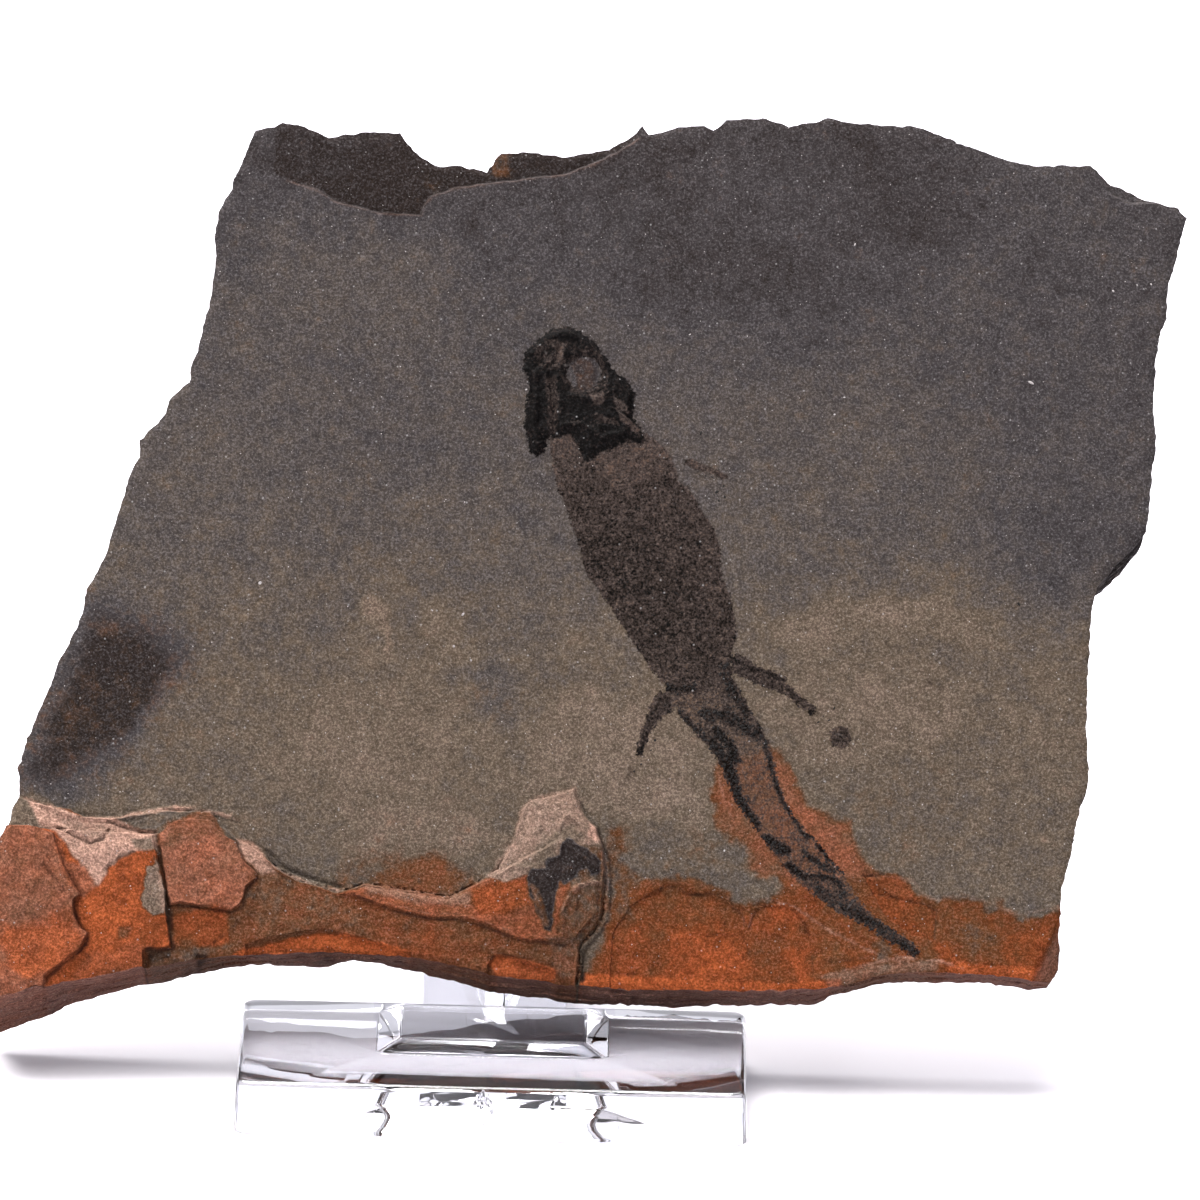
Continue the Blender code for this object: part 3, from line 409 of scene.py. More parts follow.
def uncast(points):
    """The drawing sheet's coordinates of places on the face."""
    across, up = points[:, 0], points[:, 1] * math.cos(SHEET_TILT)
    right = across * math.cos(SHEET_TURN) + up * math.sin(SHEET_TURN)
    down = across * math.sin(SHEET_TURN) - up * math.cos(SHEET_TURN)
    return np.column_stack([right, down]) + SHEET_CENTRE


def ripple(points, length, channel=0.0):
    """Smooth noise from -1 to 1 over places on the face."""
    return np.array([noise.noise(Vector((x, y, channel))) for x, y in points / length])


def nearest_on(points, route, reach, closed=True):
    """Each point's distance from a line, not read past the reach, and whether it is inside a closed one."""
    order = np.argsort(points[:, 1])
    x, y = points[order].T
    squares = np.full(len(points), reach * reach)
    inside = np.zeros(len(points), bool)
    ends = np.roll(route, -1, axis=0) if closed else route[1:]
    for (x0, y0), (x1, y1) in zip(route, ends):
        low, high = min(y0, y1), max(y0, y1)
        near = slice(*np.searchsorted(y, (low - reach, high + reach)))
        across, up = x[near] - x0, y[near] - y0
        run_x, run_y = x1 - x0, y1 - y0
        along = np.clip((across * run_x + up * run_y) / max(run_x**2 + run_y**2, 1e-12), 0.0, 1.0)
        gap = (across - along * run_x) ** 2 + (up - along * run_y) ** 2
        squares[near] = np.minimum(squares[near], gap)
        if y0 != y1:
            level = slice(*np.searchsorted(y, (low, high)))
            inside[level] ^= x[level] < x0 + run_x * (y[level] - y0) / run_y
    distance = np.empty(len(points))
    found = np.empty(len(points), bool)
    distance[order] = np.sqrt(squares)
    found[order] = inside
    return distance, found


def inside_by(points, outline, reach=4.0):
    """How far inside a closed outline places are; negative outside, and not read past the reach."""
    distance, inside = nearest_on(points, outline, reach)
    return np.where(inside, distance, -distance)


def smooth(value, low=0.0, high=1.0):
    """0 below low, 1 above high, with an even rise between."""
    share = np.clip((value - low) / (high - low), 0.0, 1.0)
    return share * share * (3.0 - 2.0 * share)


def refine(outline, spacing):
    """A closed outline with points at most the spacing apart."""
    points = []
    for start, end in zip(outline, np.roll(outline, -1, axis=0)):
        count = max(1, round(float(np.linalg.norm(end - start)) / spacing))
        points += [start + (end - start) * i / count for i in range(count)]
    return np.array(points)


def outward_normals(outline):
    """The directions out of a closed outline at its points."""
    run = np.roll(outline, -1, axis=0) - np.roll(outline, 1, axis=0)
    run /= np.maximum(np.linalg.norm(run, axis=1), 1e-9)[:, None]
    x, y = outline.T
    area = (x * np.roll(y, -1) - np.roll(x, -1) * y).sum()
    return np.column_stack([run[:, 1], -run[:, 0]]) * (1.0 if area > 0 else -1.0)


def ragged(outline, spacing, roughness, length, channel, inward=0.0):
    """A closed outline broken into small scallops."""
    fine = refine(outline, spacing)
    waves = ripple(fine, length, channel) + 0.6 * ripple(fine, length / 2.7, channel + 1.0)
    return fine + outward_normals(fine) * (roughness * waves - inward)[:, None]


FACE_OUTLINE = ragged(
    cast(EDGE_TOP + EDGE_RIGHT + EDGE_BOTTOM + EDGE_LEFT), EDGE_SPACING, BREAK_ROUGHNESS, BREAK_LENGTH,
    20.0, inward=0.5 * BREAK_ROUGHNESS,
)
BROKEN_LEDGES = [
    ledge._replace(outline=ragged(cast(ledge.outline), LEDGE_SPACING, LEDGE_ROUGHNESS, 0.9, 30.0 + i))
    for i, ledge in enumerate(LEDGES)
]
BROKEN_OUTLINES = {ledge.name: ledge.outline for ledge in BROKEN_LEDGES}
CAST_BACK_STEP = cast(BACK_STEP)
CAST_RUST_BAND = cast(RUST_BAND)
LEDGE_SLOPES = {ledge.name: ledge.slope for ledge in LEDGES}


def line_rise(points, line):
    """How much a raised or sunk line adds over places on the face."""
    apart, _ = nearest_on(points, cast(line.route), line.width, closed=False)
    return line.rise * (1.0 - smooth(apart / line.width))


def face_height(points):
    """Height of the stone's face over places on it, in millimetres above the bedding plane."""
    height = FACE_SWELL * ripple(points, SWELL_LENGTH)
    height += FACE_RIPPLE * ripple(points, RIPPLE_LENGTH, 9.0)
    for ledge in BROKEN_LEDGES:
        step = ledge.rise * np.clip(inside_by(points, ledge.outline, ledge.slope) / ledge.slope, 0.0, 1.0)
        height += step if ledge.grows is None else step * smooth(uncast(points)[:, 0], *ledge.grows)
    depth_in = inside_by(points, BROKEN_OUTLINES["overlay"])
    rise, width = WORN_SLOPE
    slope = rise * np.clip(depth_in / width, 0.0, 1.0) + 0.06 * ripple(points, 2.0, 12.0) * (depth_in > 0)
    steps = np.floor(slope / TERRACE)
    height += np.where(depth_in > 0, TERRACE * (steps + smooth(slope / TERRACE - steps, 0.7, 1.0)), 0.0)
    below = cast([(SHEET_CENTRE[0], DIP_START)])[0, 1] - points[:, 1]
    height -= np.where(depth_in > 0, OVERLAY_DIP * np.maximum(below, 0.0), 0.0)
    rough = sum(amount * ripple(points, length, channel) for amount, length, channel in WORN_WAVES)
    height += np.where(depth_in > 0, rough, 0.0)
    scaly = smooth(inside_by(points, CAST_RUST_BAND), 0.0, 1.6) * (depth_in < 0)
    plates = PLATE_COUNT * ripple(points, PLATE_LENGTH_ALONG, 22.0) + 0.35 * ripple(points, 1.1, 23.0)
    whole = np.floor(plates)
    plate_rise = PLATE_STEP * (whole + smooth(plates - whole, 0.86, 1.0))
    height += scaly * (plate_rise + 0.03 * ripple(points, 0.7, 24.0))
    for line in LINES:
        height += line_rise(points, line)
    return height


def back_height(points):
    """Height of the slab's back over places on the face, in millimetres, below the bedding plane."""
    height = -SLAB_THICKNESS + BACK_SWELL * ripple(points, SWELL_LENGTH, 5.0)
    height += smooth(inside_by(points, CAST_BACK_STEP) / 0.6)
    return height + 0.05 * ripple(points, 2.2, 17.0)


def wall_drop(points):
    """How much further down the face's plane the bottom wall ends than the face does."""
    across = [cast([(x, 97.0)])[0, 0] for x, _ in WALL_DROPS]
    drop = np.interp(points[:, 0], across, [drop for _, drop in WALL_DROPS])
    return drop / math.cos(SHEET_TILT) - SLAB_THICKNESS * math.tan(SHEET_TILT)


def search_tree(points):
    """A tree that finds the nearest of the points."""
    tree = kdtree.KDTree(len(points))
    for i, (x, y) in enumerate(points):
        tree.insert((x, y, 0.0), i)
    tree.balance()
    return tree


def scatter(outline, spacing, taken, rng, wanted=None):
    """A jittered triangular grid of places inside the outline, clear of those already taken."""
    low, high = outline.min(axis=0), outline.max(axis=0)
    rise = spacing * math.sqrt(3) / 2
    grid = []
    for row in range(int((high[1] - low[1]) / rise) + 1):
        for column in range(int((high[0] - low[0]) / spacing) + 1):
            x = low[0] + (column + 0.5 * (row % 2) + rng.uniform(-0.2, 0.2)) * spacing
            grid.append((x, low[1] + (row + rng.uniform(-0.2, 0.2)) * rise))
    grid = np.array(grid)
    if wanted is not None:
        grid = grid[wanted(grid)]
    grid = grid[inside_by(grid, outline, 1.0) > 0.45 * spacing]
    tree = search_tree(taken)
    return np.array([p for p in grid if tree.find((p[0], p[1], 0.0))[2] > 0.5 * spacing])


def sheet_of(outline, holes, creases, points):
    """Triangles inside the outline and outside the holes, with edges along the closed creases."""
    places, edges = [], []
    for chain in [outline, *holes, *creases]:
        first, count = len(places), len(chain)
        places += [Vector(p) for p in chain]
        edges += [(first + i, first + (i + 1) % count) for i in range(count)]
    places += [Vector(p) for p in points]
    found, _, triangles, *_ = delaunay_2d_cdt(places, edges, [], 0, 1e-4)
    found = np.array([tuple(p) for p in found])
    triangles = np.array(triangles)
    middles = found[triangles].mean(axis=1)
    kept = inside_by(middles, outline, 1.0) > 0
    for hole in holes:
        kept &= inside_by(middles, hole, 1.0) < 0
    triangles = triangles[kept]
    used, triangles = np.unique(triangles, return_inverse=True)
    return found[used], triangles.reshape(-1, 3)


def rim_loops(triangles):
    """The closed loops round a sheet of triangles, each with the sheet on its left."""
    directed = {(int(t[i]), int(t[(i + 1) % 3])) for t in triangles for i in range(3)}
    following = {a: b for a, b in directed if (b, a) not in directed}
    loops = []
    while following:
        start, here = following.popitem()
        loop = [start]
        while here != start:
            loop.append(here)
            here = following.pop(here)
        loops.append(loop)
    return loops


def far_along(loop, start, step):
    """The loop's first corner more than EDGE_WINDOW from the start, walking in steps of 1 or -1."""
    i = start
    while math.dist(loop[i], loop[start]) < EDGE_WINDOW:
        i = (i + step) % len(loop)
    return loop[i]


def wall_levels():
    """Each lamina's top and foot as parts of the thickness, with the bed that it belongs to."""
    rng = random.Random(8)
    levels = []
    for bed, (top, foot) in enumerate(zip(WALL_BEDS, WALL_BEDS[1:])):
        cuts = [top] + sorted(rng.uniform(top, foot) for _ in range(LAMINAE_PER_BED - 1)) + [foot]
        levels += [(above, below, bed) for above, below in zip(cuts, cuts[1:])]
    return levels


def wall_rings(loop):
    """Rings of places round the broken edge with their depths, from just under the face to the back."""
    rings = []
    runs = np.array([far_along(loop, i, 1) - far_along(loop, i, -1) for i in range(len(loop))])
    runs /= np.linalg.norm(runs, axis=1)[:, None]
    outward = np.column_stack([runs[:, 1], -runs[:, 0]])
    lower_edge = (loop[:, 1] < cast([(SHEET_CENTRE[0], LOWER_EDGE_START)])[0, 1]) & (outward[:, 1] < -0.5)
    drop = wall_drop(loop)
    for lamina, (top, foot, bed) in enumerate(wall_levels()):
        stand = BED_ROUGHNESS * ripple(loop, BED_WAVE, 3.0 * bed)
        stand += LAMINA_ROUGHNESS * (ripple(loop, LAMINA_WAVE, 40.0 + lamina) - 0.3)
        stand += 0.4 * LAMINA_ROUGHNESS * ripple(loop, 0.3 * LAMINA_WAVE, 60.0 + lamina)
        for level in (top + 0.004, foot):
            bulge = np.where(lower_edge, 0.5 * stand, stand - BACK_INSET * level)
            fall = np.where(lower_edge, drop * level, 0.0)
            rings.append((level, loop + outward * bulge[:, None] - np.outer(fall, (0.0, 1.0))))
    return rings


def shale_sheet():
    """The slab's mesh: places in face millimetres, their heights, its triangles, and each place's part."""
    rng = random.Random(3)
    creases = []
    for ledge in BROKEN_LEDGES:
        if ledge.slope < CREASED_SLOPE:
            creases += [ledge.outline, ledge.outline - outward_normals(ledge.outline) * ledge.slope]
    drawn = np.vstack([FACE_OUTLINE, *creases])
    areas = [cast(area) for area in DETAIL_AREAS]
    fine_area = cast(FINE_AREA)

    def fine(points):
        return inside_by(points, fine_area) > 0

    def detailed(points):
        return np.any([inside_by(points, area) > 0 for area in areas], axis=0) & ~fine(points)

    def plain(points):
        return ~(detailed(points) | fine(points))

    inner = np.empty((0, 2))
    for spacing, wanted in ((FINE_SPACING, fine), (DETAIL_SPACING, detailed), (FACE_SPACING, plain)):
        taken = np.vstack([drawn, inner])
        inner = np.vstack([inner, scatter(FACE_OUTLINE, spacing, taken, rng, wanted)])
    flat, triangles = sheet_of(FACE_OUTLINE, [], creases, inner)
    wear = ARRIS_WEAR * (1.0 - smooth(inside_by(flat, FACE_OUTLINE) / ARRIS_WIDTH))
    heights = face_height(flat) - wear * (0.6 + 0.8 * ripple(flat, 1.6, 18.0))
    (loop,) = rim_loops(triangles)
    count = len(loop)
    places, depths, faces = [flat], [heights], [triangles]
    upper = np.array(loop)
    total = len(flat)
    for level, ring in wall_rings(flat[loop]):
        back = back_height(ring)
        places.append(ring)
        depths.append(heights[loop] + (back - heights[loop]) * level)
        lower = np.arange(total, total + count)
        total += count
        before_upper, before_lower = np.roll(upper, 1), np.roll(lower, 1)
        faces.append(np.column_stack([upper, before_upper, before_lower]))
        faces.append(np.column_stack([upper, before_lower, lower]))
        upper = lower
    rim = places[-1]
    inner = scatter(rim, BACK_SPACING, rim, rng)
    back_flat, back_triangles = sheet_of(rim, [], [], inner)
    match = search_tree(rim)
    numbers, extra = [], []
    for x, y in back_flat:
        _, found, gap = match.find((x, y, 0.0))
        if gap < SAME_PLACE:
            numbers.append(upper[found])
        else:
            numbers.append(total + len(extra))
            extra.append((x, y))
    extra = np.array(extra)
    places.append(extra)
    depths.append(back_height(extra))
    faces.append(np.array(numbers)[back_triangles][:, ::-1])
    part = [np.full(len(flat), 0.0), np.full(total - len(flat), 1.0), np.full(len(extra), 2.0)]
    return np.vstack(places), np.concatenate(depths), np.vstack(faces), np.concatenate(part)


# The face's middle is read back from the skull's solid, whose sides stand square on the face
SKULL = [
    (55.1, 32.8), (57, 32.6), (58.2, 33.2), (59.5, 34.2), (60.5, 35.6), (61.3, 36.9), (62.8, 38),
    (63.5, 39.2), (63.5, 40.3), (63.3, 41.5), (63.9, 42.6), (64.3, 43.5), (64.1, 44.2), (62.8, 43.9),
    (61.4, 44.7), (60, 45), (59.3, 45.7), (58.8, 45.9), (58.1, 44.5), (57, 43.2), (55.9, 43.5),
    (54.8, 43.8), (54.5, 45.4), (53.5, 45.6), (52.9, 45.1), (52.7, 43.8), (52.3, 42.5), (52.4, 41.5),
    (52.8, 38.9), (52.7, 37.7), (52.2, 37), (52.4, 35.2), (53.2, 34.4), (54.1, 33.6),
]
FILM_FLOOR = -0.6  # the inlays' undersides, below the bedding plane
skull_solid = np.array([vertex.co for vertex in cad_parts["skull"].data.vertices]) / MM
skull_outline = cast(SKULL)
FACE_CENTRE = (
    Vector((skull_solid[:, 0].max() - skull_outline[:, 0].max(), 0.0, 0.0))
    + UP_FACE * ((skull_solid @ np.array(UP_FACE)).max() - skull_outline[:, 1].max())
    + OUT_OF_FACE * ((skull_solid @ np.array(OUT_OF_FACE)).min() - FILM_FLOOR)
) * MM


def in_world(points, heights):
    """Places on the face and heights above it, in millimetres, as world places in metres."""
    world = np.outer(points[:, 0], (1.0, 0.0, 0.0)) + np.outer(points[:, 1], UP_FACE)
    return (world + np.outer(heights, OUT_OF_FACE)) * MM + np.array(FACE_CENTRE)


# What colours the stone: washes and plates of tone (0 dark, 1 tan), rust (0 none, 1 bright orange) and
# pale cream, each an outline with the width of its soft border. A ledge's own name stands for its outline.
Stain = namedtuple("Stain", "outline soft tone rust pale", defaults=(None, None, None, None))
TONE_DOWN = ((15.0, 0.13), (30.0, 0.27), (55.0, 0.45), (72.0, 0.7), (86.0, 0.62))
STAINS = [
    Stain([(60, 12), (92, 12), (98, 24), (84, 34), (64, 30)], 14.0, tone=0.12),
    Stain([(27, 20), (44, 24), (46, 44), (24, 44), (22, 30)], 12.0, tone=0.34),
    Stain([(100, 16), (120, 18), (118, 58), (104, 60), (94, 40)], 14.0, tone=0.22),
    Stain("recess", tone=0.05),
    Stain([(30, 18), (34, 17.5), (43, 17), (50, 15.5), (60, 13.6), (63, 13.4), (58.5, 16), (51.4, 17.2),
           (46, 18), (43, 18.8), (41.6, 20.8), (38, 20.6), (34, 19.6)], 1.4, tone=-0.12),
    Stain([(49.4, 15.2), (51, 14.8), (51.2, 17.2), (49.2, 17.4)], 0.8, rust=0.24),
    Stain([(56.8, 36.4), (58.2, 35.4), (59.8, 36.2), (60.2, 37.6), (59.4, 39), (57.6, 39), (56.6, 37.8)],
          0.8, tone=0.06, rust=0.13),
    Stain([(7, 58), (18, 60), (22, 66), (20, 73), (14, 79), (6, 79.5), (-2, 79.5), (0, 74), (3, 68)], 7.0,
          rust=0.1),
    Stain([(9, 60), (16, 62), (19, 66), (17, 72), (12, 76), (7, 79.5), (0, 79.5), (1.5, 76), (4, 70)], 6.5,
          tone=0.0),
    Stain([(18, 68), (25, 66), (27, 70), (24, 78), (14, 79), (13, 74)], 4.0, tone=0.62),
    Stain([(40.5, 57), (42.5, 59.5), (45, 60), (46.5, 63), (47.5, 66.4), (46.2, 68.4), (44.6, 65.5),
           (42.5, 62.5)], 1.6, tone=0.7, pale=0.0),
    Stain([(32.4, 54.9), (33.2, 54.6), (38, 60.2), (37.3, 60.8)], 0.5, tone=0.56),
    Stain([(36.6, 59.2), (38, 59.6), (38.6, 62), (39.2, 65.4), (38.2, 66), (37.4, 62.4)], 1.1, tone=0.82,
          pale=0.16),
    Stain([(27, 71), (36, 69), (42, 72), (47, 73), (44, 79), (30, 80), (26, 76)], 3.6, tone=0.72),
    Stain([(46, 67), (50, 66), (53, 69), (51, 73), (47, 71.5)], 2.4, tone=0.44, rust=0.06),
    Stain([(56, 69), (64, 70), (69, 76), (71, 82), (62, 82.5), (58, 80), (53, 79), (55, 73)], 3.0,
          tone=0.84),
    Stain([(76, 63), (82, 60), (94, 59.6), (100, 62), (99, 65), (88, 64), (80, 66)], 2.6, tone=0.78),
    Stain([(78, 67), (90, 66), (96, 69), (94, 75), (86, 78), (80, 76), (77, 71)], 4.0, tone=0.78),
    Stain([(86, 77), (94, 76), (97, 84), (90, 87), (84, 81)], 4.0, tone=0.66, rust=0.08),
    Stain([(34, 80.6), (47, 80), (50, 84), (44, 86.6), (36, 86)], 2.5, tone=0.84, rust=0.08),
    Stain([(60, 83), (66, 82), (73, 83.4), (75, 87.6), (72, 88.6), (61, 88.6)], 2.0, tone=0.6, rust=0.08),
    Stain([(33, 88.5), (35, 85.4), (39, 84.6), (43, 84.8), (47, 86.6), (48, 88.6), (44, 90), (36, 90)], 2.6,
          rust=0.22),
    Stain([(38, 87), (42, 85.6), (45.5, 87), (46, 89.5), (38, 89.6)], 1.6, rust=0.4, pale=0.1),
    Stain(RUST_BAND, 1.5, rust=0.5, pale=0.0),
    Stain([(71.4, 76), (77, 74.6), (80.5, 79.5), (84, 82.6), (88, 87.4), (84, 89), (76, 88), (72.2, 82.5)],
          1.3, tone=0.8, rust=0.44, pale=0.16),
    Stain([(77.2, 76), (79, 79), (83.5, 83), (87, 87.2), (84.6, 87.6), (80, 83), (77.6, 79.6)], 0.9,
          tone=0.9, rust=0.6, pale=0.2),
    Stain([(60.6, 83), (62.4, 83), (63.4, 88), (63, 93), (61.4, 98), (59, 98), (60.6, 92.4), (61.2, 88)],
          0.8, rust=0.3),
    Stain([(60, 92), (70, 90.5), (77, 95), (78, 104), (58, 104)], 2.5, rust=0.54, pale=0.0),
    Stain([(67.5, 92), (72, 92.4), (74.8, 93.4), (75.2, 95), (73.6, 96), (72.4, 99), (66.5, 99),
           (66.4, 94.6)], 1.8, rust=0.7),
    Stain([(68.4, 96), (72.6, 94.6), (75, 94.4), (74.4, 96.6), (70, 98.4), (67.6, 98.4)], 1.2, rust=0.84),
    Stain([(76.8, 90.6), (79.2, 90.8), (80.4, 92.2), (79, 93.2), (76.8, 92.8)], 1.2, rust=0.68),
    Stain([(75.4, 93), (77.8, 93.4), (78.8, 95.2), (76.6, 96.8), (75.2, 95.2)], 1.4, tone=0.5, rust=0.42),
    Stain([(79.2, 94.6), (80.8, 95.2), (81.2, 98), (79.2, 99)], 1.2, rust=0.74),
    Stain([(83.6, 94.2), (85.6, 95.2), (86.4, 97), (84.4, 97.4)], 1.0, rust=0.68),
    Stain([(87, 93.8), (89.6, 94.4), (90.4, 95.6), (88, 95.8)], 1.0, tone=0.6, rust=0.26),
    Stain([(82, 97.6), (86.4, 96.4), (90, 96), (94, 96), (93.6, 97), (88, 97.4), (83, 99)], 0.5, tone=0.9,
          rust=0.34, pale=0.26),
    Stain([(86, 87.4), (89.6, 87.4), (91.6, 88.6), (92.4, 90.2), (88.6, 89.6)], 0.8, rust=0.66, pale=0.08),
    Stain("band plate", rust=0.66, pale=0.0),
    Stain([(93, 93.6), (95, 94.6), (96, 96.6), (94, 96.6)], 1.0, rust=0.72),
    Stain([(94.8, 92.6), (98.4, 92), (99.6, 94.6), (96.4, 95.6)], 1.8, tone=0.5, rust=0.36),
    Stain([(100.6, 93.8), (104.4, 93.2), (106, 95), (104.4, 97.2), (101.4, 96.6)], 1.6, rust=0.66),
    Stain([(58.4, 97.2), (63, 97.4), (70, 97.9), (75, 98), (79, 98.2), (84, 97.8), (84, 101), (57, 101)],
          0.45, rust=0.96),
    Stain([(94.6, 96.2), (99, 96.4), (104.6, 96.6), (104.6, 98.4), (94.8, 98)], 0.5, rust=0.94, pale=0.05),
    Stain("corner bevel", 0.7, tone=0.7, rust=0.5, pale=0.3),
    # the bed's remains: worn rim, cream ramp, bright plate, flakes, shelf and spur
    Stain("overlay", tone=0.6, rust=0.42, pale=0.08),
    Stain([(2, 79.6), (4.8, 80.2), (6.2, 82.4), (5, 84), (1, 83.6), (-3, 86), (-3, 80)], 0.9, tone=0.66,
          rust=0.0, pale=0.1),
    Stain([(16, 80.4), (27, 80.6), (27.4, 86), (24.4, 84.6), (22.6, 82.6), (20, 81.8), (17.6, 82.2),
           (15.6, 83.2)], 0.8, tone=0.66, rust=0.06, pale=0.08),
    Stain("middle flake", rust=0.9, pale=0.04),
    Stain([(7, 86), (15, 86), (15.4, 91), (12, 93), (9, 92)], 2.2, rust=0.98),
    Stain([(9.2, 95.4), (14.4, 94.6), (14.6, 98), (5, 99.6)], 1.0, rust=0.78, pale=0.12),
    Stain([(12, 92.6), (13.4, 92.8), (13, 94), (12, 94)], 0.5, tone=0.7, rust=0.5, pale=0.1),
    Stain("left flake", tone=0.8, rust=0.62, pale=0.25),
    Stain([(1, 92.8), (4.2, 92.2), (7.2, 91.6), (8.8, 93.4), (8.4, 95), (4.8, 97.8), (0.5, 99), (0.4, 95)],
          1.6, rust=0.88, pale=0.12),
    Stain([(-3, 96), (1.2, 97), (3, 98.2), (5, 98), (4.6, 99.8), (-3, 101)], 0.5, rust=0.66, pale=0.26),
    Stain([(5.6, 84.2), (6.2, 84), (6.8, 86.4), (7.8, 88.6), (8.4, 89.7), (7, 88.6), (6.4, 87.4)], 0.5,
          rust=0.84, pale=0.2),
    Stain([(3, 80), (5, 80.5), (8, 81.8), (11, 81.8), (14.5, 81.2), (17, 80.7), (19.6, 80.7), (15.8, 81.8),
           (15, 82.6), (15.8, 83.4), (15.8, 85.2), (13.6, 85.4), (11.9, 86.1), (10.9, 87.2), (10.2, 88.7),
           (9.3, 88.7), (8.2, 86.6), (6.9, 84.9), (5.8, 83.4), (4.2, 82.6)], 0.6, tone=1.0, rust=0.06,
          pale=0.88),
    Stain([(6.4, 82), (10, 82.4), (11.5, 83.2), (10.4, 84.4), (8.6, 84), (6.4, 83)], 0.7, tone=0.9,
          pale=0.56),
    Stain([(11.6, 81.9), (14, 81.5), (17.4, 80.9), (18.4, 81.6), (16.4, 82.6), (15.4, 83.2), (13.4, 82.9)],
          0.4, tone=0.5, rust=0.0, pale=0.06),
    Stain([(13.2, 84.2), (15.4, 84), (15.5, 85.2), (13.6, 85.2)], 0.4, tone=0.8, pale=0.2),
    Stain([(6.6, 86.4), (8.8, 86.8), (9.8, 88.8), (8.6, 90), (7.6, 88.6)], 0.7, rust=0.82, pale=0.24),
    Stain([(14.8, 86.9), (15.8, 86.5), (16.3, 88.5), (16.8, 91.6), (15.4, 91.7), (14.6, 91), (14.3, 90),
           (14.7, 88.4)], 0.3, tone=0.85, rust=0.04, pale=0.2),
    Stain([(15.6, 86.2), (16, 86.4), (16.5, 88.6), (16.9, 91.2), (16.5, 91.2), (16, 88.8)], 0.3, tone=0.9,
          rust=0.1, pale=0.4),
    Stain("right flake", tone=0.8, rust=0.7, pale=0.27),
    Stain([(17, 82.2), (21.4, 82), (23.4, 84), (20, 84.4), (16.8, 84.6)], 0.9, tone=0.7, rust=0.44,
          pale=0.2),
    Stain([(17.2, 91.2), (20, 90.9), (23.6, 91.5), (22.8, 94), (19.4, 94.8), (17.6, 94.4)], 0.8, rust=0.78,
          pale=0.06),
    # painted highlight: a cream-pink patch on the edge by the right flake and its lip, where they face the
    # light
    Stain([(23.6, 83.9), (25, 84), (26.4, 85.2), (27, 86.4), (27.9, 87.4), (26.6, 88), (25.8, 87),
           (24.6, 86)], 0.5, tone=1.0, rust=0.3, pale=0.66),
    Stain([(25.8, 87.8), (28, 87.4), (31.5, 88.8), (34, 89.6), (36, 91), (35.5, 92.6), (30, 92.8),
           (25, 93.8), (23.5, 93.4), (24.8, 90.8)], 1.2, tone=0.72, rust=0.38, pale=0.1),
    Stain([(15.2, 95.2), (20.4, 94.6), (23.6, 94.4), (20, 96), (15, 97)], 0.5, tone=0.5, rust=0.3,
          pale=0.1),
    Stain([(24, 95.1), (27.4, 94.2), (30, 93.5), (33.4, 93.2), (36, 93.7), (41, 95), (41, 97), (20, 97.4)],
          0.3, rust=0.94, pale=0.0),
    Stain("shelf", tone=0.8, rust=0.62, pale=0.16),
    Stain([(36, 88.2), (44, 89.6), (47, 89.2), (47.4, 90.6), (42, 90.4), (37, 89.4)], 0.6, tone=0.9,
          rust=0.4, pale=0.32),
    Stain([(47.4, 89), (50.4, 88), (52.4, 88.2), (53, 90.4), (50.4, 91.5), (48.2, 91.5), (47.2, 90.4)], 0.7,
          rust=0.7, pale=0.04),
    Stain([(40.8, 93), (43.6, 92.6), (44.6, 95), (41.2, 95.6)], 0.9, rust=0.54),
    Stain([(49, 96.3), (49.6, 95.4), (53, 96), (55.6, 96.8), (55.4, 98), (50, 98.2)], 0.35, rust=0.94),
    Stain([(54.6, 93.6), (57.8, 93.6), (58.2, 97.8), (55.8, 97.6)], 0.7, tone=0.62, rust=0.3, pale=0.16),
    Stain([(53, 79.8), (57.5, 78.5), (58, 80.3), (58.5, 81.9), (59.6, 82.6), (60.3, 84), (60.8, 86),
           (57.2, 85.4), (56.4, 86.3), (54.8, 87.2), (52.5, 87.8), (50.5, 88.4), (48.6, 87.6), (51.2, 84.2),
           (52.1, 80.6)], 0.5, tone=0.9, rust=0.0, pale=0.34),
    Stain([(53.4, 84.4), (56.2, 82.6), (57, 82.2), (58.6, 84.2), (56.4, 84.4), (55.6, 85.8), (53.6, 87),
           (51.4, 87.6)], 1.0, tone=0.72, pale=0.14),
    Stain([(57.6, 84.6), (60.4, 84.6), (60.9, 88.4), (60.5, 92), (58.4, 94.4), (57, 93.8), (55.6, 93.4),
           (56, 91), (56.8, 88.8)], 0.5, tone=0.66, rust=0.26, pale=0.05),
    Stain([(56.7, 84), (58, 84.6), (59.4, 85.5), (60, 86.2), (60.1, 87.2), (59.2, 87.5), (58.6, 86.9),
           (57.8, 87.3), (57.2, 88.1), (56.4, 88.6), (55.9, 88.2), (55.6, 89.6), (55.4, 91.6), (55.2, 93.3),
           (54.5, 93), (53.7, 91.4), (53, 89.8), (52.7, 88), (53.1, 87.1), (54.5, 87), (54.8, 86),
           (56, 85.7), (56.3, 84.6)], 0.35, tone=-0.06, rust=0.0, pale=0.0),
    Stain([(53, 88.4), (54, 89), (54.6, 91), (55, 93), (54.2, 92.4), (53.4, 90.6)], 0.5, tone=0.1,
          rust=0.3),
    Stain([(59, 82.6), (59.7, 82.7), (60, 84), (59.4, 84.2), (58.8, 83.5)], 0.25, tone=1.0, pale=0.9),
    Stain([(57.2, 88.9), (58.6, 88.2), (60.2, 88), (60.2, 88.5), (58.6, 88.8), (57.6, 89.4)], 0.3, tone=0.9,
          pale=0.3),
    Stain([(60, 84.8), (60.6, 85.2), (61, 89), (60.4, 89), (60.2, 87)], 0.3, tone=0.34, pale=0.2),
]
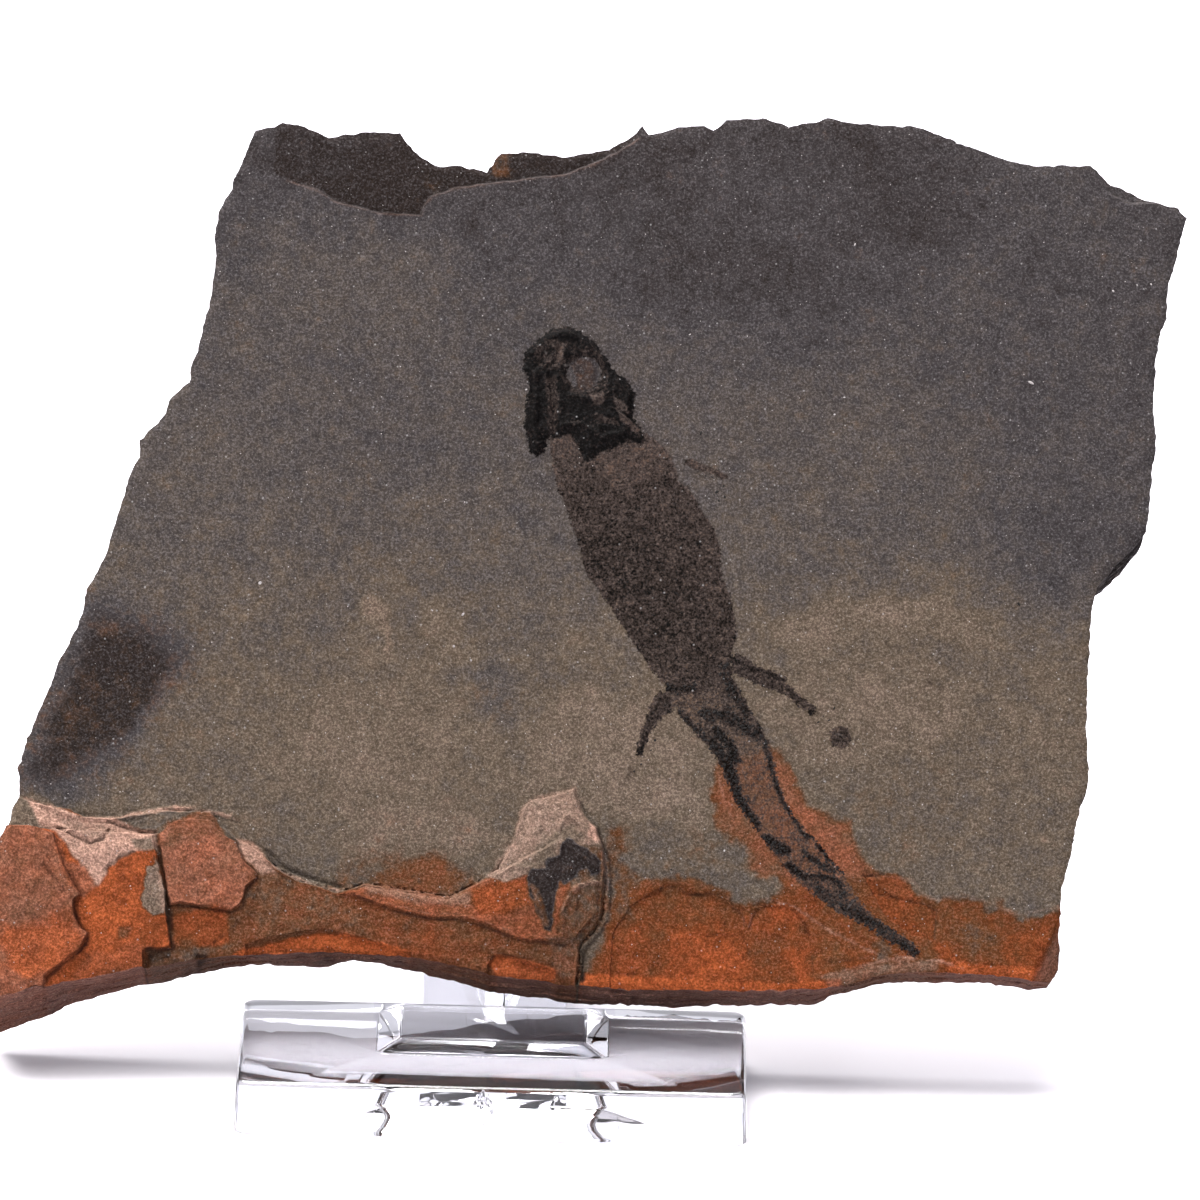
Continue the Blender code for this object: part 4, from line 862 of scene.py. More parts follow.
SHORT_WANDER = ((0.9, 0.2), (0.4, 0.08))  # how borders wander: over these lengths, by these amounts
LONG_WANDER = ((3.4, 1.1), (1.5, 0.6), (0.6, 0.25))
SHADE_LINE_WANDER = ((0.7, 0.12), (0.3, 0.05))
BROAD_STAIN = 0.75  # stains with a softer border than this take the long wander

# Colours of the dry stone, from dark to tan, of its iron stain, of its cream crust, whose cream also paints
# the highlights on lit edges, and of its broken edge
SHALE_TONES = [
    (0.0, (0.0155, 0.0110, 0.0097)), (0.2, (0.0353, 0.0309, 0.0313)), (0.42, (0.0528, 0.0434, 0.0378)),
    (0.7, (0.0770, 0.0575, 0.0400)), (1.0, (0.1187, 0.0863, 0.065)),
]
RUST_TONES = [
    (0.0, (0.050, 0.032, 0.0175)), (0.35, (0.074, 0.0282, 0.0102)), (0.6, (0.105, 0.0285, 0.0086)),
    (0.8, (0.153, 0.0365, 0.0112)), (1.0, (0.232, 0.0548, 0.0157)),
]
CREAM_CRUST_AND_HIGHLIGHT = (0.30, 0.177, 0.132, 1.0)
EDGE_TONES = [(0.3, (0.050, 0.023, 0.019)), (0.5, (0.135, 0.066, 0.050)), (0.7, (0.245, 0.136, 0.108))]
EDGE_SEAM = (0.0125, 0.0095, 0.009, 1.0)
LAMINA_STRETCH = (1.0, 1.0, 9.0)  # the laminae are this much finer across the bedding
# painted shadow with soil: the near-black of the dark lines at the feet of ledges and in cracks
LINE_SHADOW_AND_SOIL = (0.009, 0.0055, 0.0045, 1.0)
GRAIN_SHEEN = (0.19, 0.19, 0.20, 1.0)
MICA_GLINT = (0.33, 0.32, 0.32, 1.0)


def wandered(points, wander=SHORT_WANDER):
    """Places moved a little, so that what is drawn with straight lines gets ragged borders."""
    moved = points.copy()
    for i, (length, amount) in enumerate(wander):
        shift = [ripple(points, length, 50.0 + 2 * i), ripple(points, length, 51.0 + 2 * i)]
        moved += amount * np.column_stack(shift)
    return moved


def stained(points):
    """The stone's tone, rust and pale masks over places on the face."""
    down = uncast(points)[:, 1]
    masks = {kind: np.zeros(len(points)) for kind in ("tone", "rust", "pale")}
    masks["tone"] += np.interp(down, *zip(*TONE_DOWN))
    near, far = wandered(points), wandered(points, LONG_WANDER)
    for stain in STAINS:
        if isinstance(stain.outline, str):
            reach = inside_by(points, BROKEN_OUTLINES[stain.outline])
            low, high = 0.0, stain.soft or LEDGE_SLOPES[stain.outline]
        else:
            reach = inside_by(far if stain.soft > BROAD_STAIN else near, cast(stain.outline), stain.soft)
            low, high = -0.5 * stain.soft, 0.5 * stain.soft
        weight = smooth(reach, low, high)
        for kind in masks:
            value = getattr(stain, kind)
            if value is not None:
                masks[kind] += (value - masks[kind]) * weight
    return masks


# Painted shade and highlights along the ledges: dark lines are painted shadow at the feet of steps, with
# soil in the cracks, and pale lines are painted highlights on edges that face the light. Each has the route
# on the drawing sheet, its width, and how dark or, below 0, how pale
Seam = namedtuple("Seam", "route width depth")
SHADE_LINES = [
    Seam([(28.5, 17.9), *RECESS[3:-1]], 0.3, -0.24),
    Seam([(4, 80.2), (6, 80.7), (7.8, 81.3), (9.4, 81.4)], 0.45, 0.45),
    Seam([(2.5, 79.7), (5.3, 80.5), (7.6, 81.7), (9.9, 81.8), (12.9, 81.7), (15, 81.35), (17.5, 81),
          (20.3, 81), (23.1, 81.6)], 0.34, -0.6),
    Seam([(6.1, 83), (7.5, 83.9), (9.2, 84.6), (10.6, 84.1)], 0.3, 0.65),
    Seam([(6.4, 82.6), (7.8, 83.4), (9.2, 84.1), (10.3, 83.7)], 0.26, -0.45),
    Seam([(11, 82.1), (12, 82.7), (13.2, 83), (14.5, 83.3), (15.6, 83.2)], 0.28, 0.65),
    Seam([(10.6, 87.4), (11.4, 86.6), (12.4, 85.9), (13.6, 85.5)], 0.26, 0.6),
    Seam([(5.6, 83.8), (6.2, 85.5), (6.6, 86.8), (7.3, 88), (8.4, 89.8), (7.7, 90.4)], 0.26, 0.6),
    Seam([(7.8, 90.2), (7.6, 90.9), (7.8, 91.8), (8.4, 92.9), (9.2, 93.5), (8.8, 94.6), (7.6, 95.8),
          (5.8, 97.1), (4.9, 97.9)], 0.36, 0.9),
    Seam([(4.6, 86.7), (5.4, 87.8), (6.2, 88.7), (6.8, 89.6)], 0.24, 0.5),
    Seam([(8.7, 95.3), (9.3, 96), (8.9, 97.2)], 0.24, 0.5),
    Seam([(15.6, 83.2), (16, 85), (16.5, 87.6), (16.9, 90.2), (17, 92.2)], 0.34, 0.8),
    Seam([(17, 90), (17.15, 92), (17.2, 93.6), (17.6, 94.9)], 0.6, 0.8),
    Seam([(14.8, 94.9), (16, 95), (17.4, 94.9)], 0.4, 0.85),
    Seam([(15.4, 95.2), (15, 96), (14.7, 96.6)], 0.28, 0.8),
    Seam([(19.9, 95.5), (20.8, 95.6)], 0.4, 0.9),
    Seam([(22.7, 83.6), (23.8, 84.4), (24.5, 86.2), (25.8, 87.3)], 0.24, 0.5),
    Seam([(25.9, 87.9), (24.9, 88.9), (24.6, 90.2), (24.1, 91), (23.2, 91.3), (20, 90.8), (18, 90.6)], 0.28,
         0.7),
    Seam([(24.6, 90.4), (23.6, 92.6), (21, 94.6), (18.6, 95.8)], 0.22, 0.4),
    Seam([(21.5, 81.6), (24, 82.3)], 0.2, 0.4),
    Seam([(23.9, 83.9), (25, 84.2), (25.9, 85), (27.2, 86.5), (29.1, 87.5), (30.9, 88.2), (34, 89)], 0.4,
         -0.6),
    Seam([(24.2, 83.4), (26, 84.4), (27.6, 86.2), (29.4, 87.1), (31.6, 87.9)], 0.3, 0.5),
    Seam([(0, 99.7), (4, 98.9), (8, 98.1), (12, 97.4), (16, 96.9), (20, 96.4), (24, 95.9)], 0.3, -0.4),
    Seam([(24, 95.6), (28, 94.9), (32, 94.8), (36, 95.2), (41, 96)], 0.22, 0.5),
    Seam([(59.8, 82.8), (60.2, 84.2), (60.9, 85.8), (61.1, 89), (60.8, 91.8), (60.1, 93.1), (58.8, 94.4),
          (58.3, 95.4), (58.2, 98)], 0.34, 0.9),
    Seam([(59.4, 93.9), (58.6, 94.9), (58.3, 96.4), (58.3, 97.6)], 0.6, 0.85),
    Seam([(58.1, 80.2), (58.5, 81.1)], 0.34, 0.8),
    Seam([(49, 88), (50.5, 86.6), (51.3, 85), (51.8, 83.4), (52.4, 81.2), (53, 80), (54.5, 79.7),
          (56, 79.3), (57.5, 78.7)], 0.28, -0.45),
    Seam([(56, 83.4), (56.3, 82), (56.9, 81.6), (57.8, 82.4), (58.8, 83.8)], 0.24, -0.5),
    Seam([(60.5, 84.8), (60.8, 86.5), (60.8, 89.5), (60.5, 91.5)], 0.2, -0.45),
    Seam([(57, 89.3), (57.9, 88.7), (58.8, 88.4), (60.2, 88.2)], 0.26, -0.45),
    Seam([(57.8, 97.6), (57.6, 95.5), (57.4, 94), (56.4, 93), (56.2, 91), (57, 89.6)], 0.28, -0.35),
    Seam([(57.6, 93.6), (57.5, 91.6), (57.8, 90)], 0.22, 0.35),
    Seam([(53.2, 88.6), (53.8, 90.6), (54.6, 92.8)], 0.22, -0.3),
    Seam([(35.3, 89.4), (37.2, 90.2), (39.2, 91.1), (42.8, 91.9), (45.8, 92), (47.9, 92.5), (50, 93.3),
          (52, 94), (56.6, 94.5)], 0.28, 0.75),
    Seam([(36.6, 89.4), (39.4, 90.6), (42.8, 91.4), (45.8, 91.5), (47.9, 92), (50, 92.8), (52, 93.5),
          (56.4, 94)], 0.26, -0.4),
    Seam([(35.5, 88.9), (37.8, 88.2), (40.1, 88.9), (42.8, 89.2), (45.8, 89.3), (48.8, 88)], 0.26, -0.4),
    Seam([(48.8, 95.8), (50, 95.3), (53, 95.8), (56, 96.6)], 0.22, 0.45),
    Seam([(60.4, 90), (63, 89), (65, 88.2), (69, 88.2), (73, 89.2), (74, 89.8), (77.6, 89.8)], 0.45, -0.14),
    Seam([(64.4, 89.6), (65.8, 89.1), (66.4, 88.5), (67.4, 88.6), (69, 89.3), (71.6, 89.3), (72.9, 89.8),
          (73.4, 90.6), (74.1, 91.3)], 0.22, 0.42),
    Seam([(74.1, 91.2), (74.4, 92.4), (74.9, 92.6), (75.2, 91)], 0.3, -0.4),
    Seam([(75, 90.4), (76.5, 90.5), (78, 90.2), (79.4, 91), (80.2, 92), (80.8, 93.2)], 0.22, 0.4),
    Seam([(70.6, 93.4), (72.6, 93.2), (74.4, 93.6), (74.9, 95), (73.8, 96.2)], 0.2, 0.25),
    Seam([(83, 85.2), (85.3, 85.6), (86.3, 86.9), (88.1, 87.4), (91.3, 88), (92, 89.4), (93.6, 89.9),
          (96.3, 89.4), (98.6, 90.2), (101.9, 91.4), (105.7, 90.6)], 0.5, -0.24),
    Seam([(86.1, 87.5), (88.3, 87.4)], 0.26, 0.7),
    Seam([(87.1, 89.2), (89.3, 89.6), (91, 90.1), (92.3, 90.3), (93.6, 91), (93.4, 92.4), (93.3, 93.9)],
         0.22, 0.45),
    Seam([(82, 97.6), (86.4, 96.4), (90, 95.6), (94, 96), (96.4, 96.8)], 0.34, -0.5),
    Seam([(81.6, 96.4), (84, 95.9), (86.4, 95.7), (88.4, 95.2)], 0.24, 0.4),
    Seam([(76.6, 89.8), (79.4, 90.6), (83, 93), (86, 94.6), (89.4, 96), (92, 96.4)], 0.36, -0.4),
    Seam([(71.6, 76.4), (72.4, 80), (74.4, 84.6), (77.6, 88.6)], 0.4, -0.28),
    Seam([(92.8, 68), (94.5, 69), (95, 69.6)], 0.2, 0.7),
    Seam([(37, 46.5), (35, 48.2), (33.6, 49.8), (33.2, 50.9)], 0.2, 0.3),
    Seam([(63.2, 76.9), (62.6, 77.6)], 0.24, 0.8),
]


def shade_line_mask(points):
    """The line mask over places on the face, from -1 for a painted highlight to 1 for a dark line of
    painted shadow and soil.
    """
    near = wandered(points, SHADE_LINE_WANDER)
    broken = 0.75 + 0.5 * ripple(points, 1.3, 58.0)
    fullness = np.clip(0.72 + 0.7 * ripple(points, 1.7, 57.0), 0.3, 1.0)
    dark, pale = np.zeros(len(points)), np.zeros(len(points))
    for line_shade in SHADE_LINES:
        apart, _ = nearest_on(near, cast(line_shade.route), line_shade.width, closed=False)
        weight = 1.0 - smooth(apart / (line_shade.width * fullness), 0.2, 1.0)
        if line_shade.depth > 0:
            dark = np.maximum(dark, weight * line_shade.depth)
        else:
            pale = np.maximum(pale, -weight * line_shade.depth)
    return np.where(dark > pale, dark * np.clip(broken + 0.2, 0, 1), -pale * np.clip(broken, 0, 1))


def shade_round(piece, angle):
    """Smooth shading, with edges sharper than the angle left sharp."""
    piece.data.shade_smooth()
    piece.data.set_sharp_from_angle(angle=math.radians(angle))


def calc(tree, operation, *values, clamp=False):
    """A Math node's output."""
    inputs = dict(enumerate(values))
    return add_node(tree, "ShaderNodeMath", inputs, operation=operation, use_clamp=clamp).outputs[0]


def between(tree, value, low, high, bottom=0.0, top=1.0):
    """The value brought from low..high to bottom..top, with an even rise."""
    inputs = {"Value": value, "From Min": low, "From Max": high, "To Min": bottom, "To Max": top}
    return add_node(tree, "ShaderNodeMapRange", inputs, interpolation_type="SMOOTHSTEP").outputs[0]


def grain(tree, place, size, detail=2.0, rough=0.55):
    """Noise whose lumps are about the size, in metres."""
    inputs = {"Vector": place, "Scale": 1.0 / size, "Detail": detail, "Roughness": rough}
    return add_node(tree, "ShaderNodeTexNoise", inputs).outputs["Fac"]


def ridged(tree, place, per_metre, rough, curl):
    """Noise that runs in fine curling ridges."""
    ridges = add_node(tree, "ShaderNodeTexNoise", {
        "Vector": place, "Scale": per_metre, "Detail": 3.0, "Roughness": rough, "Lacunarity": 2.2,
        "Distortion": curl,
    }, noise_type="RIDGED_MULTIFRACTAL", normalize=True)
    return ridges.outputs["Fac"]


def tones(tree, value, stops):
    """A colour ramp over stops of (position, colour)."""
    node = add_node(tree, "ShaderNodeValToRGB", {"Fac": value})
    ramp = node.color_ramp
    while len(ramp.elements) < len(stops):
        ramp.elements.new(0.5)
    for element, (position, colour) in zip(ramp.elements, stops):
        element.position = position
        element.color = (*colour, 1.0)
    return node.outputs["Color"]


def blend(tree, share, first, second, way="MIX"):
    """Two colours mixed."""
    inputs = {0: share, 6: first, 7: second}
    return add_node(tree, "ShaderNodeMix", inputs, data_type="RGBA", blend_type=way).outputs[2]


def shaded(tree, colour, level):
    """The colour made lighter or darker by a level about 1."""
    grey = add_node(tree, "ShaderNodeCombineColor", {"Red": level, "Green": level, "Blue": level})
    return blend(tree, 1.0, colour, grey.outputs[0], "MULTIPLY")


def mask(tree, name):
    """A mask painted on the piece's points."""
    return add_node(tree, "ShaderNodeAttribute", attribute_name=name).outputs["Fac"]


def centred(tree, value, amount, base):
    """The base with a noise's swing about its middle added, times the amount."""
    return calc(tree, "MULTIPLY_ADD", calc(tree, "SUBTRACT", value, 0.5), amount, base)


def shale_colour(tree, place):
    """The stone's colour before its grain is laid over it, from its masks, with the painted highlights
    along lit edges in cream.
    """
    cloud = grain(tree, place, 0.012, 3.0)
    mottle = grain(tree, place, 0.0026, 5.0, 0.68)
    fleck = grain(tree, place, 0.0008, 3.0, 0.6)
    tone, rust, pale = mask(tree, "tone"), mask(tree, "rust"), mask(tree, "pale")
    blotches = calc(tree, "MULTIPLY_ADD", tone, 1.5, 0.3, clamp=True)
    uneven = centred(tree, mottle, calc(tree, "MULTIPLY", blotches, 0.8), centred(tree, cloud, 0.28, tone))
    stone = tones(tree, centred(tree, fleck, calc(tree, "MULTIPLY", blotches, 0.4), uneven), SHALE_TONES)
    rusty = centred(tree, fleck, 0.5, centred(tree, mottle, 0.85, centred(tree, cloud, 0.6, rust)))
    reach = centred(tree, fleck, 0.4, centred(tree, mottle, 0.5, rust))
    stone = blend(tree, between(tree, reach, 0.04, 0.4), stone, tones(tree, rusty, RUST_TONES))
    # painted highlights: the pale lines of the line mask are mixed to cream along edges that face the
    # light, together with the cream crust
    painted_highlight = calc(tree, "MULTIPLY", mask(tree, "line_shade"), -1.0, clamp=True)
    crust_and_highlight = calc(tree, "MAXIMUM", centred(tree, fleck, calc(tree, "MULTIPLY", pale, 1.4), pale), painted_highlight)
    return blend(tree, between(tree, crust_and_highlight, 0.0, 1.0), stone, CREAM_CRUST_AND_HIGHLIGHT)


def grained(tree, place, colour):
    """The colour broken into dark and light grains with cool glints over them, and the grains' relief."""
    sand = grain(tree, place, 0.00023, 2.0, 0.8)
    clump = grain(tree, place, 0.00075, 2.0, 0.6)
    curls = ridged(tree, place, 1100.0, 0.55, 0.6)
    grit = calc(tree, "POWER", between(tree, sand, 0.28, 0.76), 1.5)
    swing = calc(tree, "MULTIPLY_ADD", mask(tree, "tone"), 0.35, 0.74)
    level = calc(tree, "MULTIPLY_ADD", calc(tree, "SUBTRACT", grit, 0.38), swing, 1.0)
    level = centred(tree, clump, 0.5, level)
    level = calc(tree, "MULTIPLY_ADD", calc(tree, "SUBTRACT", curls, 0.45), 0.3, level)
    colour = shaded(tree, colour, level)
    off_film = between(tree, mask(tree, "film"), -0.1, 0.1, 0.19, 0.05)
    quiet = calc(tree, "MULTIPLY", off_film, between(tree, mask(tree, "rust"), 0.2, 0.8, 1.0, 0.3))
    colour = blend(tree, calc(tree, "MULTIPLY", calc(tree, "POWER", grit, 2.6), quiet), colour, GRAIN_SHEEN)
    cells = add_node(tree, "ShaderNodeTexVoronoi", {"Vector": place, "Scale": 2600.0})
    near = between(tree, cells.outputs["Distance"], 0.34, 0.16)
    picked = add_node(tree, "ShaderNodeSeparateColor", {"Color": cells.outputs["Color"]}).outputs[0]
    glint = calc(tree, "MULTIPLY", calc(tree, "MULTIPLY", near, between(tree, picked, 0.975, 0.985)), 0.35)
    relief = calc(tree, "MULTIPLY_ADD", clump, 1.2, calc(tree, "MULTIPLY_ADD", curls, 0.5, sand))
    return blend(tree, glint, colour, MICA_GLINT), relief


FILM_TONES = [
    (0.0, (0.068, 0.0375, 0.0245)), (0.3, (0.0413, 0.0305, 0.0260)), (0.55, (0.0245, 0.0178, 0.0152)),
    (0.78, (0.0098, 0.0070, 0.0060)), (1.0, (0.0014, 0.0011, 0.0010)),
]
FILM_THREAD = (0.075, 0.066, 0.062, 1.0)  # fine pale threads that run through the film


def filmed(tree, place, stone):
    """The stone with the carbon film where its mask says so, brown where thin and black where thick."""
    ragged_edge = grain(tree, place, 0.0005, 4.0, 0.68)
    cover = between(tree, centred(tree, ragged_edge, 1.5, mask(tree, "film")), -0.05, 0.1)
    patches = grain(tree, place, 0.0009, 4.0, 0.72)
    specks = grain(tree, place, 0.00028, 2.0, 0.75)
    carbon = centred(tree, specks, 1.9, centred(tree, patches, 1.35, mask(tree, "carbon")))
    thin = between(tree, carbon, 0.0, 0.5, 0.6, 0.98)
    threads = between(tree, ridged(tree, place, 650.0, 0.6, 1.2), 0.48, 0.68, 0.0, 0.6)
    film = blend(tree, threads, tones(tree, carbon, FILM_TONES), FILM_THREAD)
    return blend(tree, calc(tree, "MULTIPLY", cover, thin), stone, film)


def stone_material(name, rough, gloss, with_edge=False):
    """Shale with its film; rough and gloss are for the film's kind, and a slab has its broken edge too."""
    made, tree, shader = new_material(name, {"Roughness": rough, "Specular IOR Level": gloss})
    place = add_node(tree, "ShaderNodeTexCoord").outputs["Object"]
    colour = filmed(tree, place, shale_colour(tree, place))
    if with_edge:
        turn = (SLAB_LEAN - math.pi / 2, 0, 0)
        bedded = add_node(tree, "ShaderNodeMapping", {"Vector": place, "Rotation": turn}).outputs[0]
        laminae = add_node(tree, "ShaderNodeMapping", {"Vector": bedded, "Scale": LAMINA_STRETCH})
        streaks = grain(tree, laminae.outputs[0], 0.0024, 4.0, 0.6)
        unstained = calc(tree, "MULTIPLY_ADD", mask(tree, "rust"), -1.1, 1.0, clamp=True)
        broken = blend(tree, unstained, tones(tree, streaks, EDGE_TONES), colour)
        broken = blend(tree, between(tree, streaks, 0.5, 0.7, 0.0, 0.6), broken, EDGE_SEAM)
        colour = blend(tree, mask(tree, "edge"), colour, broken)
    colour, relief = grained(tree, place, colour)
    # painted shadow with soil: the dark lines darken the grained colour at the feet of ledges and in cracks
    colour = blend(tree, calc(tree, "MULTIPLY", mask(tree, "line_shade"), 0.9, clamp=True), colour, LINE_SHADOW_AND_SOIL)
    tree.links.new(colour, shader.inputs["Base Color"])
    add_bump(tree, shader, relief, 0.00011, 0.9)
    return made


shale = stone_material("speckled_shale", 0.9, 0.04, with_edge=True)

# The film's outlines on the drawing sheet. The neck is a faint part of it that has no relief.
BODY = [
    (55.3, 46.6), (57.6, 46.6), (60, 46.6), (62.2, 45.7), (64.2, 45.1), (65.6, 44.8), (66.6, 44.6),
    (67.3, 46), (67.9, 48), (69.3, 49.3), (70.3, 51.2), (71.7, 53.4), (72.2, 55.6), (72.2, 57.7),
    (73, 59.5), (73.7, 62.4), (73.5, 64.2), (73.1, 65.9), (73.3, 67.6), (74.1, 69.3), (75, 71),
    (76.1, 72.5), (77, 74.2), (77.5, 76.3), (78, 78.8), (79.2, 81.5), (81, 83.4), (82.1, 84.7), (83, 85.8),
    (84.4, 87.4), (86.1, 90.1), (88.2, 92), (91.1, 93.9), (92, 95), (91.4, 95.7), (88.4, 94), (86.1, 92.4),
    (83.5, 91.2), (80.7, 89), (79, 87.6), (77.4, 85.4), (75.2, 82.5), (73.6, 80.2), (72.7, 78.2),
    (72, 76.6), (71, 75), (69.4, 73.2), (68.6, 72.1), (67.7, 71.3), (67.4, 69.7), (66.4, 68.4), (65, 66.8),
    (63.8, 65), (62.2, 62.6), (60.4, 59.8), (58.6, 57.4), (58, 54.8), (57.2, 52.6), (56.5, 50.6),
    (55.7, 48.8),
]
NECK = [
    (54.9, 43.4), (58, 42.6), (62.5, 43.4), (64.3, 43.2), (66.6, 44.6), (64.6, 46.4), (60, 48.4),
    (56, 48.6), (55.2, 46.8),
]
LEG_ROOTS = [
    [(67.4, 68.6), (69.6, 69.6), (69, 71.4), (67.6, 70.8), (66.4, 71.6), (65.3, 73.2), (64.8, 73),
     (65.4, 70.8), (66.2, 69.2)],
    [(72.8, 65.6), (74.2, 65.4), (75.8, 66.6), (77.6, 67.2), (78.8, 68), (78.4, 69.4), (76.4, 68.8),
     (74.4, 68), (73.2, 67.2)],
]
LEFT_HIND_LEG = [(66.4, 69.3), (65.6, 70.4), (64.8, 72.4), (64.3, 74.1), (63.8, 75.6)]
LEFT_HIND_LEG_WIDTHS = (1.3, 0.7)
RIGHT_HIND_LEG = [(74.3, 66.9), (76.0, 67.4), (78.0, 68.4), (79.6, 69.8), (81.4, 71.2)]
RIGHT_HIND_LEG_WIDTHS = (1.6, 0.9)
FORELEG = [(68.5, 46.1), (69.9, 46.7), (71.2, 47.1), (72.6, 47.7)]
FORELEG_WIDTHS = (0.9, 0.6)
ORBIT_CENTRE = (58.4, 37.3)
ORBIT_RADIUS = 1.7
FOOT_CENTRE = (84.0, 73.7)
FOOT_RADIUS = 1.15


def ribbon(route, widths):
    """A tapering strip along a route on the drawing sheet, as a closed outline on the face."""
    points = cast(route)
    last = len(points) - 1
    left, right = [], []
    for i, point in enumerate(points):
        run = points[min(i + 1, last)] - points[max(i - 1, 0)]
        side = np.array((-run[1], run[0])) / np.linalg.norm(run)
        half = 0.5 * (widths[0] + (widths[1] - widths[0]) * i / last)
        left.append(point + side * half)
        right.append(point - side * half)
    end = points[-1] - points[-2]
    tip = points[-1] + end / np.linalg.norm(end) * widths[1] * 0.5
    return np.array(left + [tip] + right[::-1])


def circle(centre, radius, count):
    """A round outline on the face about a place on the drawing sheet."""
    turns = 2 * np.pi * np.arange(count) / count
    return cast([centre]) + radius * np.column_stack([np.cos(turns), np.sin(turns)])


ORBIT = circle(ORBIT_CENTRE, ORBIT_RADIUS, 24)
FILM_OUTLINES = {
    "skull": skull_outline,
    "body": cast(BODY),
    "neck": cast(NECK),
    "left_leg_root": cast(LEG_ROOTS[0]),
    "right_leg_root": cast(LEG_ROOTS[1]),
    "left_hind_leg": ribbon(LEFT_HIND_LEG, LEFT_HIND_LEG_WIDTHS),
    "right_hind_leg": ribbon(RIGHT_HIND_LEG, RIGHT_HIND_LEG_WIDTHS),
    "right_hind_foot": circle(FOOT_CENTRE, FOOT_RADIUS, 20),
    "foreleg": ribbon(FORELEG, FORELEG_WIDTHS),
}

# How much carbon the film holds: the outline, its soft border and the share of black, laid in turn
Carbon = namedtuple("Carbon", "outline soft share")
CARBON_BASE = 0.56
CARBONS = [
    Carbon([(54, 43), (66, 43), (68, 46), (64, 48.4), (60, 48.6), (56, 49.4), (54, 46)], 1.6, 0.36),
    Carbon([(55.6, 46.4), (60.2, 46.4), (60.6, 49), (57.4, 50.4)], 1.0, 0.54),
    Carbon([(58.2, 43.8), (59.4, 44.2), (59.4, 46), (58.6, 46.2), (58, 45.2)], 0.35, 0.95),
    Carbon([(57, 54), (64, 52), (70, 60), (71, 66), (64, 64), (60, 60)], 3.0, 0.64),
    Carbon([(65.5, 66), (68, 68.6), (70, 69.2), (74, 69), (77, 73.6), (74.6, 75.6), (70, 74.6), (66, 69)],
           1.2, 0.46),
    Carbon([(67.6, 69.6), (71.5, 69.4), (72, 72.4), (69.6, 72.8), (68.2, 71.4)], 0.9, 0.24),
    Carbon([(71.8, 73.4), (77.6, 73), (81, 82), (93, 96), (90, 97), (78, 88), (73, 80)], 0.8, 0.18),
    Carbon([(74.4, 75), (76.6, 75.4), (77.6, 79), (79.4, 82.6), (77.6, 83.6), (75.6, 80.6), (73.8, 77)],
           0.6, 0.1),
    Carbon([(79.8, 87.4), (83.4, 87.8), (84.6, 89.8), (87.4, 92.4), (89.2, 92.4), (92.4, 95.6), (90, 96),
            (86, 93), (82, 90.4)], 0.5, 0.5),
    Carbon([(80.2, 87.8), (83, 88), (83.8, 89.4), (82, 89.8)], 0.5, 0.4),
    Carbon([(83.8, 71.6), (85.4, 73.2), (84.6, 75.2), (83, 74.8)], 0.5, 0.5),
    Carbon([(68, 45), (73, 46.6), (73.5, 49), (69, 47.6)], 0.6, 0.42),
    Carbon([(63.4, 75.4), (65.2, 74.2), (66.6, 70.6), (67.6, 70.6), (66, 74.6), (64.4, 77)], 0.5, 0.5),
]
SKULL_CARBON = 1.08
TAIL_GAPS = 0.12  # how far the film is broken up at the tail's tip
NO_FILM = -4.0
SKULL_LIGHT = [
    Carbon([(54.4, 37.8), (55.6, 37.6), (55.8, 40.2), (55.7, 43.4), (54.8, 43.4), (54.7, 40.8)], 0.4, 0.66),
    Carbon([(53.4, 34.6), (55.4, 33.8), (57, 34.2), (56.2, 36.6), (55.2, 37.2), (53.6, 36.4)], 0.6, 0.74),
    Carbon([(55.7, 34.4), (56.4, 34.5), (56.1, 36.4), (55.5, 36.3)], 0.3, 0.4),
    Carbon([(57.4, 34.6), (60.2, 35.2), (60.8, 37.4), (60.6, 38.8), (58.4, 39.8), (56.4, 39), (56.2, 36.4)],
           0.5, 0.78),
    Carbon([(58.9, 39.3), (60.4, 39.3), (60.4, 40.4), (59.4, 40.6)], 0.35, 0.42),
    Carbon([(61.2, 39.6), (62.6, 40.4), (62.8, 41.4), (61.6, 41)], 0.4, 0.5),
    Carbon([(59.4, 41.3), (61.4, 41.8), (62.4, 42.6), (60.4, 42.4)], 0.3, 0.64),
    Carbon([(61.6, 40.9), (62.6, 41.7), (64, 43), (63.7, 43.4), (62.2, 42.2)], 0.22, 0.42),
]
